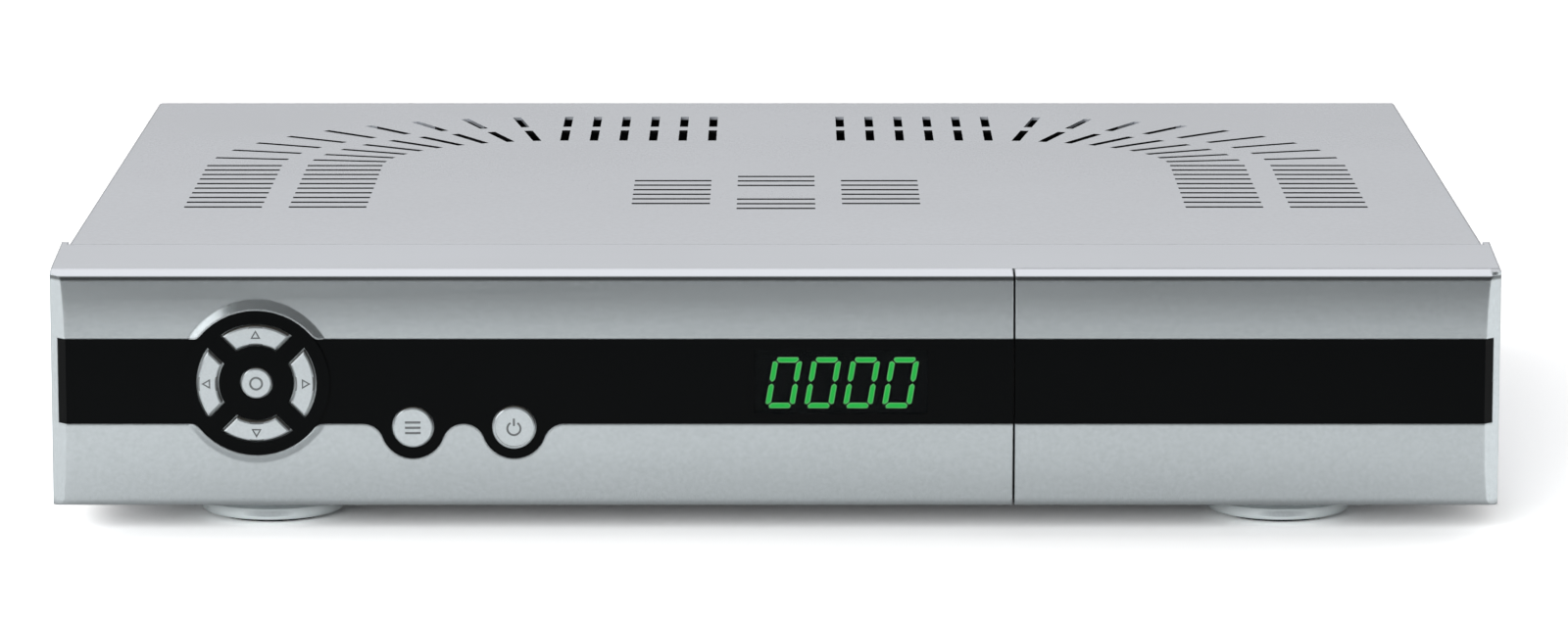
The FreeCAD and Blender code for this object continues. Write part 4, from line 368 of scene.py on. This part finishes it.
# Each row: name, colour, roughness, metallic, grain scale, contrast, relief, spread of roughness.
finish = {
    "silver_plastic": grained("silver_paint", SILVER, 0.25, SILVER_METAL, 1000, 0.05, 0.02, 0.02,
                              edge=0.0007, dress=front_paint_and_painted_light),
    "silver_sheet": grained("silver_cover", COVER_SILVER, 0.22, COVER_METAL, 900, 0.035, 0.02,
                            0.01, dress=vent_wall_shade),
    "key_silver": grained("key_paint", shade(SILVER, 1.10), 0.30, KEY_METAL, 1500, 0.04, 0.02,
                          0.02, edge=0.00012, dress=bare_shaded_sides),
    "dark_window": grained("gloss_black", BLACK, 0.12, 0.0, 60, 0.05, 0.0, 0.02, specular=0.055),
    "black_plastic": grained("moulded_black", (0.012, 0.0125, 0.013), 0.5, 0.0, 2500, 0.15, 0.08),
    "circuit_board": grained("solder_mask", (0.015, 0.085, 0.035), 0.35, 0.0, 500, 0.12, 0.04),
    "supply_board": grained("paper_board", (0.36, 0.25, 0.10), 0.5, 0.0, 600, 0.10, 0.04),
    "grey_cable": grained("grey_jacket", (0.27, 0.28, 0.29), 0.55, 0.0, 900, 0.06, 0.05),
    "zinc_sheet": grained("zinc_plate", (0.50, 0.51, 0.52), 0.38, 0.9, 45, 0.10, 0.0, 0.08),
    "black_sheet": grained("black_powder_coat", (0.018, 0.0185, 0.019), 0.5, 0.0, 3500, 0.2, 0.12),
    "foot_silver": grained("foot_silver", shade(SILVER, FOOT_SHADE), 0.32, 0.05, 1500, 0.05,
                           0.02, dress=foot_highlight_paint),
    "rubber_pad": grained("rubber", (0.012, 0.012, 0.012), 0.75, 0.0, 1800, 0.2, 0.10),
    "screw_steel": grained("screw_steel", (0.45, 0.46, 0.47), 0.3, 1.0, 2500, 0.06, 0.03),
    "brass_post": grained("brass", (0.55, 0.38, 0.14), 0.3, 1.0, 1500, 0.06, 0.03),
    "heatsink_aluminium": grained("raw_aluminium", (0.50, 0.51, 0.52), 0.4, 1.0, 900, 0.06, 0.04),
    "tin_can": grained("tinned_steel", (0.58, 0.59, 0.60), 0.28, 1.0, 300, 0.08, 0.03),
    "plated_socket": grained("nickel", (0.60, 0.60, 0.58), 0.2, 1.0, 1500, 0.04, 0.02),
    "white_plastic": grained("white_nylon", (0.72, 0.71, 0.67), 0.45, 0.0, 1500, 0.03, 0.03),
    "red_plastic": grained("cinch_inserts", CINCH_RED, 0.4, 0.0, 1500, 0.06, 0.03,
                           dress=cinch_colours),
    "ferrite": grained("ferrite", (0.035, 0.036, 0.038), 0.6, 0.0, 1500, 0.15, 0.08),
    "capacitor_sleeve": grained("capacitor_sleeve", (0.014, 0.018, 0.032), 0.3, 0.0, 900, 0.08,
                                0.02),
    "green_segments": lit("segment_core", (0.034, 0.96, 0.125)),
}
segment_rim = lit("segment_rim", (0.28, 0.98, 0.34))
smoked = smoked_pane()
display_face = grained("display_face", BLACK, 0.6, 0.0, 900, 0.1, 0.0, specular=0.05)
mark_shade = grained("engraved_shade", shade(SILVER, 0.30), 0.45, 0.3, 3000, 0.08, 0.0)

SLOT_OF = {part["node"]: part["material_slot"] for part in frame["record"]["subparts"]}
for node, item in NODES.items():
    for slot in item.material_slots:
        slot.material = finish[SLOT_OF[node]]
NODES["display_module"].material_slots[0].material = display_face


# ------------------------------------------------------------------ making pieces
def scaled(bm):
    """Take a bmesh made in millimetres to metres."""
    bmesh.ops.scale(bm, vec=(MM, MM, MM), verts=bm.verts)


def soften(mesh, degrees):
    """Smooth shading with sharp edges above an angle, without the normals of the CAD mesh."""
    stored = mesh.attributes.get("custom_normal")
    if stored:
        mesh.attributes.remove(stored)
    for polygon in mesh.polygons:
        polygon.use_smooth = True
    mesh.set_sharp_from_angle(angle=math.radians(degrees))


def placed(name, data):
    """A new object in the scene."""
    item = bpy.data.objects.new(name, data)
    bpy.context.scene.collection.objects.link(item)
    return item


def meshed(name, bm):
    """A mesh from a bmesh, its corners joined and its faces turned outwards."""
    bmesh.ops.remove_doubles(bm, verts=bm.verts, dist=1e-7)
    bmesh.ops.recalc_face_normals(bm, faces=bm.faces)
    mesh = bpy.data.meshes.new(name)
    bm.to_mesh(mesh)
    bm.free()
    return mesh


def add_piece(name, bm, body, slot, degrees=32, stands_for=()):
    """A new object from a bmesh, riding on a body with a slot's finish."""
    mesh = meshed(name, bm)
    mesh.materials.append(finish[slot])
    soften(mesh, degrees)
    item = placed(name, mesh)
    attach(item, body)
    if stands_for:
        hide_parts(*stands_for)
    return item


def turned(bm, outline, centre, axis, steps=64, turn=0.0):
    """Turn a closed outline of (radius, distance) corners about an axis through a centre."""
    rings = []
    for radius, along in outline:
        ring = []
        for step in range(steps):
            angle = 2 * math.pi * step / steps + turn
            across = radius * math.cos(angle)
            up = radius * math.sin(angle)
            spot = {"y": (across, along, up), "z": (across, up, along)}[axis]
            ring.append(bm.verts.new(Vector(centre) + Vector(spot)))
        rings.append(ring)
    for first, second in zip(rings, rings[1:] + rings[:1]):
        for step in range(steps):
            after = (step + 1) % steps
            bm.faces.new((first[step], first[after], second[after], second[step]))


def prism(bm, outline, front, back):
    """A block between two depths from an outline of (across, up) points."""
    first = [bm.verts.new((across, front, up)) for across, up in outline]
    second = [bm.verts.new((across, back, up)) for across, up in outline]
    bm.faces.new(first)
    bm.faces.new(list(reversed(second)))
    for number in range(len(outline)):
        after = (number + 1) % len(outline)
        bm.faces.new((first[number], first[after], second[after], second[number]))


def tube(inner, outer, front, back):
    """The outline of a tube, to be turned."""
    return [(inner, front), (outer, front), (outer, back), (inner, back)]


def rectangle(left, right, low, high):
    """The outline of a rectangle, for a prism."""
    return [(left, low), (right, low), (right, high), (left, high)]


def copied(node):
    """The mesh of a CAD node, its split corners joined again."""
    bm = bmesh.new()
    bm.from_mesh(NODES[node].data)
    bmesh.ops.remove_doubles(bm, verts=bm.verts, dist=1e-6)
    return bm


def carved(item, cutter_bm):
    """Take a cutter's solids out of a piece and keep the result as its mesh."""
    scaled(cutter_bm)
    cutter = placed("cutter", meshed("cutter", cutter_bm))
    tool = item.modifiers.new("carve", "BOOLEAN")
    tool.operation = "DIFFERENCE"
    tool.solver = "EXACT"
    tool.object = cutter
    bpy.context.view_layer.update()
    seen = item.evaluated_get(bpy.context.evaluated_depsgraph_get())
    result = bpy.data.meshes.new_from_object(seen)
    item.modifiers.clear()
    item.data = result
    soften(result, 32)
    bpy.data.objects.remove(cutter)


# ------------------------------------------------------------------ keys with engraved marks
ARROW_FACE = FRONT - 1.9
OK_FACE = FRONT - 1.4
MENU_FACE = FRONT - 0.9
POWER_FACE = FRONT - 1.4
POWER_FLOOR = FRONT - 1.15         # the face sunk inside the standby key's rim
RIM_INSIDE = 4.35
ENGRAVED = 0.28                    # depth of the marks
MARK_REACH = 2.6                   # no mark reaches further from its middle
SKIN = 0.02
CLEAR = 1                          # a cutter starts this far in front of a face
ARROW = (0.75, 1.35)               # inner and outer radius of the grooved triangle
OK_RING = (1.15, 1.6)
MENU_BAR = (1.8, 0.25)             # half of the width and of the height
MENU_PITCH = 1.25
STANDBY_RING = (1.75, 1.3)         # outer and inner radius
STANDBY_START, STANDBY_SWEEP, STANDBY_STEPS = 122, 296, 28
STANDBY_DROP = 0.15                # of the ring's middle, under the key's
STANDBY_BAR = (0.22, 0.5, 2.2)     # half width, lower end and upper end


def engraved_key(node, body, face, middle, marks, floor_at=None):
    """A key with marks cut into its face, shaded inside; the face may first be sunk in a rim."""
    item = add_piece(node + "_engraved", copied(node), body, "key_silver", stands_for=(node,))
    if floor_at:
        sunk = bmesh.new()
        turned(sunk, tube(0, RIM_INSIDE, face - CLEAR, floor_at), (middle[0], 0, middle[1]), "y")
        carved(item, sunk)
        face = floor_at
    cutter = bmesh.new()
    marks(cutter, face - CLEAR, face + ENGRAVED)
    carved(item, cutter)
    item.data.materials.append(mark_shade)
    for polygon in item.data.polygons:
        across, depth, up = polygon.center / MM
        in_reach = math.hypot(across - middle[0], up - middle[1]) < MARK_REACH
        if in_reach and face + SKIN < depth < face + ENGRAVED + SKIN:
            polygon.material_index = 1


def arrow(middle, turn):
    """A grooved triangle that points away from the keypad's middle."""
    return lambda bm, front, deep: turned(bm, tube(*ARROW, front, deep),
                                          (middle[0], 0, middle[1]), "y", 3, math.pi / 2 + turn)


def ring_mark(bm, front, deep):
    """A ring on the centre key."""
    turned(bm, tube(*OK_RING, front, deep), (KEYPAD[0], 0, KEYPAD[1]), "y", 40)


def bar_marks(bm, front, deep):
    """Three bars on the menu key."""
    wide, tall = MENU_BAR
    for step in (-1, 0, 1):
        up = MENU[1] + MENU_PITCH * step
        prism(bm, rectangle(MENU[0] - wide, MENU[0] + wide, up - tall, up + tall), front, deep)


def standby_marks(bm, front, deep):
    """An open ring and a bar on the standby key."""
    angles = [math.radians(STANDBY_START + step * STANDBY_SWEEP / STANDBY_STEPS)
              for step in range(STANDBY_STEPS + 1)]
    outline = [(POWER[0] + radius * math.cos(angle),
                POWER[1] - STANDBY_DROP + radius * math.sin(angle))
               for radius, order in zip(STANDBY_RING, (angles, angles[::-1])) for angle in order]
    prism(bm, outline, front, deep)
    half, low, high = STANDBY_BAR
    prism(bm, rectangle(POWER[0] - half, POWER[0] + half, POWER[1] + low, POWER[1] + high),
          front, deep)


for number, label in enumerate(("up", "left", "down", "right")):
    turn = math.pi / 2 * number
    middle = (KEYPAD[0] - ARROW_MIDDLE * math.sin(turn), KEYPAD[1] + ARROW_MIDDLE * math.cos(turn))
    engraved_key(label + "_key", label + "_key_body", ARROW_FACE, middle, arrow(middle, turn))
engraved_key("ok_key", "ok_key_body", OK_FACE, KEYPAD, ring_mark)
engraved_key("menu_key", "menu_key_body", MENU_FACE, MENU, bar_marks)
engraved_key("power_key", "power_key_body", POWER_FACE, POWER, standby_marks, POWER_FLOOR)

# ------------------------------------------------------------------ strip with its smoked pane
strip = copied("display_window")
(left, low), (right, high) = DISPLAY
for point, normal in (((left, 0, 0), (1, 0, 0)), ((right, 0, 0), (1, 0, 0)),
                      ((0, 0, low), (0, 0, 1)), ((0, 0, high), (0, 0, 1))):
    bmesh.ops.bisect_plane(strip, geom=strip.verts[:] + strip.edges[:] + strip.faces[:],
                           dist=1e-6, plane_co=Vector(point) * MM, plane_no=normal)
glazed = add_piece("display_window_glazed", strip, "receiver", "dark_window",
                   stands_for=("display_window",))
glazed.data.materials.append(smoked)
for polygon in glazed.data.polygons:
    across, depth, up = polygon.center / MM
    if left < across < right and low < up < high and abs(polygon.normal.y) > 0.9:
        polygon.material_index = 1

# ------------------------------------------------------------------ digits
DIGIT_PITCH = 9.05
DIGIT_MIDDLES = [15.5 + DIGIT_PITCH * (number - 1.5) for number in range(4)]
DIGIT_UP = 37.15
DIGIT_HALF = (3.40, 6.0)           # half width and half height over the segments
DIGIT_DEPTHS = (-147.15, -146.95)
SEGMENT = 1.25
SEGMENT_RIM = 0.22
LEAN = math.tan(math.radians(9.8))
MITRE = 0.21                       # half of the gap between two segments


def segment_outlines():
    """Six-sided outlines of the six segments of a nought, about the digit's middle."""
    wide, tall = DIGIT_HALF[0] - SEGMENT / 2, DIGIT_HALF[1] - SEGMENT / 2
    half = SEGMENT / 2
    flat = wide - half * 0.75
    tip = wide - MITRE
    bar = [(-tip, 0), (-flat, half), (flat, half), (tip, 0), (wide - half - MITRE, -half),
           (MITRE + half - wide, -half)]
    top = [(across, tall + up) for across, up in bar]
    bottom = [(across, -up - tall) for across, up in bar]
    post = [(0, MITRE), (half, half + MITRE), (half, tall - half - MITRE),
            (0, tall - MITRE * 1.5), (-half, tall - half * 0.8), (-half, half + MITRE)]
    outlines = [top, bottom]
    for side in (-1, 1):
        for level in (-1, 1):
            outlines.append([(side * (wide - across), level * up) for across, up in post])
    return outlines


def six_places(point):
    """A point rounded, to be looked up in a set."""
    return tuple(round(value, 6) for value in point)


digits = bmesh.new()
for middle in DIGIT_MIDDLES:
    for outline in segment_outlines():
        prism(digits, [(middle + across + LEAN * up, DIGIT_UP + up) for across, up in outline],
              *DIGIT_DEPTHS)
bmesh.ops.recalc_face_normals(digits, faces=digits.faces)
scaled(digits)
fronts = [face for face in digits.faces if face.normal.y < -0.9]
rim = bmesh.ops.inset_individual(digits, faces=fronts, thickness=SEGMENT_RIM * MM, depth=0)
rim_middles = {six_places(face.calc_center_median()) for face in rim["faces"]}
nought_row = add_piece("display_digits_lit", digits, "receiver", "green_segments",
                       stands_for=("display_segments",))
nought_row.data.materials.append(segment_rim)
for polygon in nought_row.data.polygons:
    if six_places(polygon.center) in rim_middles or abs(polygon.normal.y) < 0.5:
        polygon.material_index = 1

# ------------------------------------------------------------------ feet
FOOT = [(0, 1.0), (15.9, 1.0), (16.5, 1.2), (16.85, 1.6), (17.0, 2.1), (17.0, 3.3), (16.8, 3.7),
        (16.3, 3.9), (13.9, 3.9), (13.6, 4.1), (13.5, 4.5), (13.5, 8.0), (0, 8.0)]
FOOT_PAD = [(0, 0), (12.7, 0), (13.0, 0.3), (13.0, 1.0), (0, 1.0)]
for name, outline, steps, slot, node in (("feet_turned", FOOT, 96, "foot_silver", "feet"),
                                         ("foot_pads_round", FOOT_PAD, 64, "rubber_pad",
                                          "foot_pads")):
    bm = bmesh.new()
    for across, depth in FEET:
        turned(bm, outline, (across, depth, 0), "z", steps)
    scaled(bm)
    add_piece(name, bm, "receiver", slot, 40, (node,))

# ------------------------------------------------------------------ screws
PAN_HEAD = [(0, 1.5), (0.9, 1.46), (1.7, 1.28), (2.3, 0.95), (2.62, 0.5), (2.7, 0.15), (2.7, 0),
            (1.4, 0), (1.4, -5.0), (0, -5.0)]
CROSS_ARM = (3.1, 0.55, 1.6)
CROSS_LEVEL = 1.25
CROSS_TURNS = (20, 110)
SCREW_TURN = 37                    # each screw of a row is turned by this much more than the last
COVER_BACK = [((across, 140.75, 58.4), (0, 1, 0)) for across in (-120, 0, 120)]
COVER_SIDES = [((side * 168.2, depth, 14.0), (side, 0, 0))
               for side in (-1, 1) for depth in (-43.85, 86.15)]
PANEL_FEET = [((across, 133.75, 8.0), (0, 0, -1)) for across in (112, 10, -125)]


def screw_master():
    """A pan head with a cross recess, facing +Z, its seat at zero, on a plain shank."""
    bm = bmesh.new()
    turned(bm, PAN_HEAD, (0, 0, 0), "z", 32)
    scaled(bm)
    item = add_piece("screw_master", bm, "receiver", "screw_steel")
    for turn in CROSS_TURNS:
        arm = bmesh.new()
        bmesh.ops.create_cube(arm, size=1)
        bmesh.ops.scale(arm, vec=CROSS_ARM, verts=arm.verts)
        bmesh.ops.rotate(arm, verts=arm.verts, cent=(0, 0, 0),
                         matrix=Matrix.Rotation(math.radians(turn), 3, "Z"))
        bmesh.ops.translate(arm, vec=(0, 0, CROSS_LEVEL), verts=arm.verts)
        carved(item, arm)
    mesh = item.data
    bpy.data.objects.remove(item)
    return mesh


def screw_row(name, node, master, places):
    """Screws with seats at the places, each facing a direction."""
    bm = bmesh.new()
    for number, (seat, facing_way) in enumerate(places):
        start = len(bm.verts)
        bm.from_mesh(master)
        bm.verts.ensure_lookup_table()
        moved = bm.verts[start:]
        turn = Matrix.Rotation(math.radians(SCREW_TURN * number), 4, "Z")
        aim = Vector(facing_way).to_track_quat("Z", "Y").to_matrix().to_4x4()
        place = Matrix.Translation(Vector(seat) * MM)
        bmesh.ops.transform(bm, matrix=place @ aim @ turn, verts=moved)
    add_piece(name, bm, "receiver", "screw_steel", stands_for=(node,))


head = screw_master()
screw_row("cover_screws_cross", "cover_screws", head, COVER_BACK + COVER_SIDES)
screw_row("panel_screws_cross", "panel_screws", head, PANEL_FEET)

# ------------------------------------------------------------------ sockets on the rear panel
THREAD_PITCH = 0.78
THREAD_TURNS = 10
THREAD = [(4.7, 142.0)]
for turn in range(THREAD_TURNS):
    start = 142.6 + THREAD_PITCH * turn
    THREAD += [(4.25, start), (4.25, start + 0.18), (4.7, start + 0.39), (4.7, start + 0.55)]
THREAD += [(4.3, 150.55), (4.15, 150.75), (3.75, 150.75), (3.65, 150.6), (3.65, 141.8),
           (0, 141.8), (0, 138.35), (4.7, 138.35)]
NUT = [(4.6, PANEL), (6.1, PANEL), (6.35, 139.95), (6.35, 141.6), (6.0, 141.95), (4.6, 141.95)]
WASHER = [(4.6, 139.76), (5.6, 139.76), (5.75, 141.9), (5.2, 142.05), (4.6, 142.05)]
SLEEVE = [(4.15, 142.15), (4.15, 148.35), (4.0, 148.7), (3.8, 148.75), (3.62, 148.65),
          (3.55, 148.4), (3.55, 142.15)]
COLOUR_RING = [(0, PANEL), (5.4, PANEL), (5.4, 141.8), (5.05, 142.15), (2.85, 142.15),
               (2.85, 147.05), (2.65, 147.25), (1.8, 147.25), (1.65, 147.05), (1.65, 143.15),
               (0, 143.15)]


def sockets(name, places, forms, slot, degrees, node):
    """The turned forms of a socket at each of its places on the rear panel."""
    bm = bmesh.new()
    for across, up in places:
        for outline, steps, turn in forms:
            turned(bm, outline, (across, 0, up), "y", steps, turn)
    scaled(bm)
    add_piece(name, bm, "receiver", slot, degrees, (node,))


sockets("lnb_connectors_threaded", AERIALS,
        ((THREAD, 48, 0.0), (NUT, 6, math.pi / 6), (WASHER, 40, 0.0)),
        "plated_socket", 25, "lnb_connectors")
sockets("rca_sleeves_round", CINCH, ((SLEEVE, 48, 0.0),), "plated_socket", 32, "rca_sleeves")
sockets("rca_rings_coloured", CINCH, ((COLOUR_RING, 48, 0.0),), "red_plastic", 32, "rca_rings")

# ------------------------------------------------------------------ camera
ELEVATION = math.radians(9.574)
DISTANCE = 1628.1 * MM
AIM_RISE = 18.24 * MM
AIM_SIDE = 1.98 * MM
LENS = 161.05
forward = Vector((0, math.cos(ELEVATION), -math.sin(ELEVATION)))
upward = Vector((0, math.sin(ELEVATION), math.cos(ELEVATION)))
camera = placed("camera", bpy.data.cameras.new("camera"))
camera.data.lens = LENS
camera.data.sensor_width = 36
camera.data.clip_start = 0.01
camera.data.clip_end = 50
camera.location = (Vector((AIM_SIDE, FRONT * MM, MIDDLE_Z)) - forward * DISTANCE
                   + upward * AIM_RISE)
camera.rotation_euler = (math.pi / 2 - ELEVATION, 0, 0)
bpy.context.scene.camera = camera

# ------------------------------------------------------------------ floor
FLOOR_HALF = 6.0
FLOOR_COLOUR = (0.84, 0.84, 0.84)
FLOOR_SEEN = (1.9, 1.9, 1.9)       # by the camera, which makes the floor white
floor_mesh = bpy.data.meshes.new("floor")
floor_mesh.from_pydata([(side * FLOOR_HALF, depth * FLOOR_HALF, 0)
                        for side, depth in ((-1, -1), (1, -1), (1, 1), (-1, 1))], [],
                       [(0, 1, 2, 3)])
floor = placed("floor", floor_mesh)
floor_paint = bpy.data.materials.new("floor_white")
floor_paint.use_nodes = True
tree = floor_paint.node_tree
tree.nodes.clear()
# What the glossy parts mirror: bright close to the front, then falling off, and bright beside it.
across, along, up = coordinates(tree)
ahead = spread(tree, along, 1.0, 0.0, -2.15, -0.15)
falling = ramp(tree, ahead, grey((0.0, 0.80), (0.06, 0.92), (0.10, 0.86), (0.16, 0.62),
                                 (0.25, 0.44), (0.5, 0.28), (1.0, 0.20)))
beside = spread(tree, maths(tree, "ABSOLUTE", across), 0.0, 1.0, 0.175, 0.20)
close = spread(tree, along, 0.0, 1.0, -0.30, -0.22)
flank = ramp(tree, spread(tree, across, 0.0, 1.0, -0.2, 0.2), grey((0.0, 0.96), (1.0, 1.36)))
mirrored = mixed(tree, every(tree, beside, close), falling, flank)
rays = tree.nodes.new("ShaderNodeLightPath")
surface = chosen(tree, rays.outputs["Is Glossy Ray"],
                 coloured(tree, "ShaderNodeBsdfDiffuse", FLOOR_COLOUR),
                 coloured(tree, "ShaderNodeBsdfDiffuse", mirrored))
surface = chosen(tree, rays.outputs["Is Camera Ray"], surface,
                 coloured(tree, "ShaderNodeBsdfDiffuse", FLOOR_SEEN))
tree.links.new(surface, tree.nodes.new("ShaderNodeOutputMaterial").inputs["Surface"])
floor_mesh.materials.append(floor_paint)

# ------------------------------------------------------------------ world
world = bpy.data.worlds.new("studio")
bpy.context.scene.world = world
world.use_nodes = True
tree = world.node_tree
tree.nodes.clear()
across, along, up = coordinates(tree, "Generated")
ahead_levels = ramp(tree, up, grey((0.0, 0.20), (0.06, 0.11), (0.2, 0.08), (0.7, 0.07),
                                   (1.0, 0.08)))
behind_levels = ramp(tree, up, grey((0.0, 0.16), (0.08, 0.25), (0.15, 0.52), (0.24, 1.08),
                                    (0.5, 1.40), (0.75, 1.2), (1.0, 0.6)))
dome = mixed(tree, spread(tree, along, 0.0, 1.0, -0.02, 0.28), ahead_levels, behind_levels)
rays = tree.nodes.new("ShaderNodeLightPath")
sky = chosen(tree, rays.outputs["Is Camera Ray"], coloured(tree, "ShaderNodeBackground", dome),
             coloured(tree, "ShaderNodeBackground", (1, 1, 1)))
tree.links.new(sky, tree.nodes.new("ShaderNodeOutputWorld").inputs["Surface"])

# ------------------------------------------------------------------ lamps
AIM = (0, 0, 0.03)


def softbox(name, place, wide, tall, watts, mirrored_too=True):
    """A rectangular softbox that faces the receiver."""
    data = bpy.data.lights.new(name, "AREA")
    data.shape = "RECTANGLE"
    data.size = wide
    data.size_y = tall
    data.energy = watts
    item = placed(name, data)
    item.location = place
    item.rotation_euler = (Vector(AIM) - Vector(place)).to_track_quat("-Z", "Y").to_euler()
    item.visible_glossy = mirrored_too


softbox("left_softbox", (-1.7, -0.6, 1.15), 1.5, 1.3, 8)
softbox("front_fill", (-0.7, -2.0, 0.72), 2.0, 0.8, 50, False)
bpy.context.scene.view_settings.view_transform = "Standard"
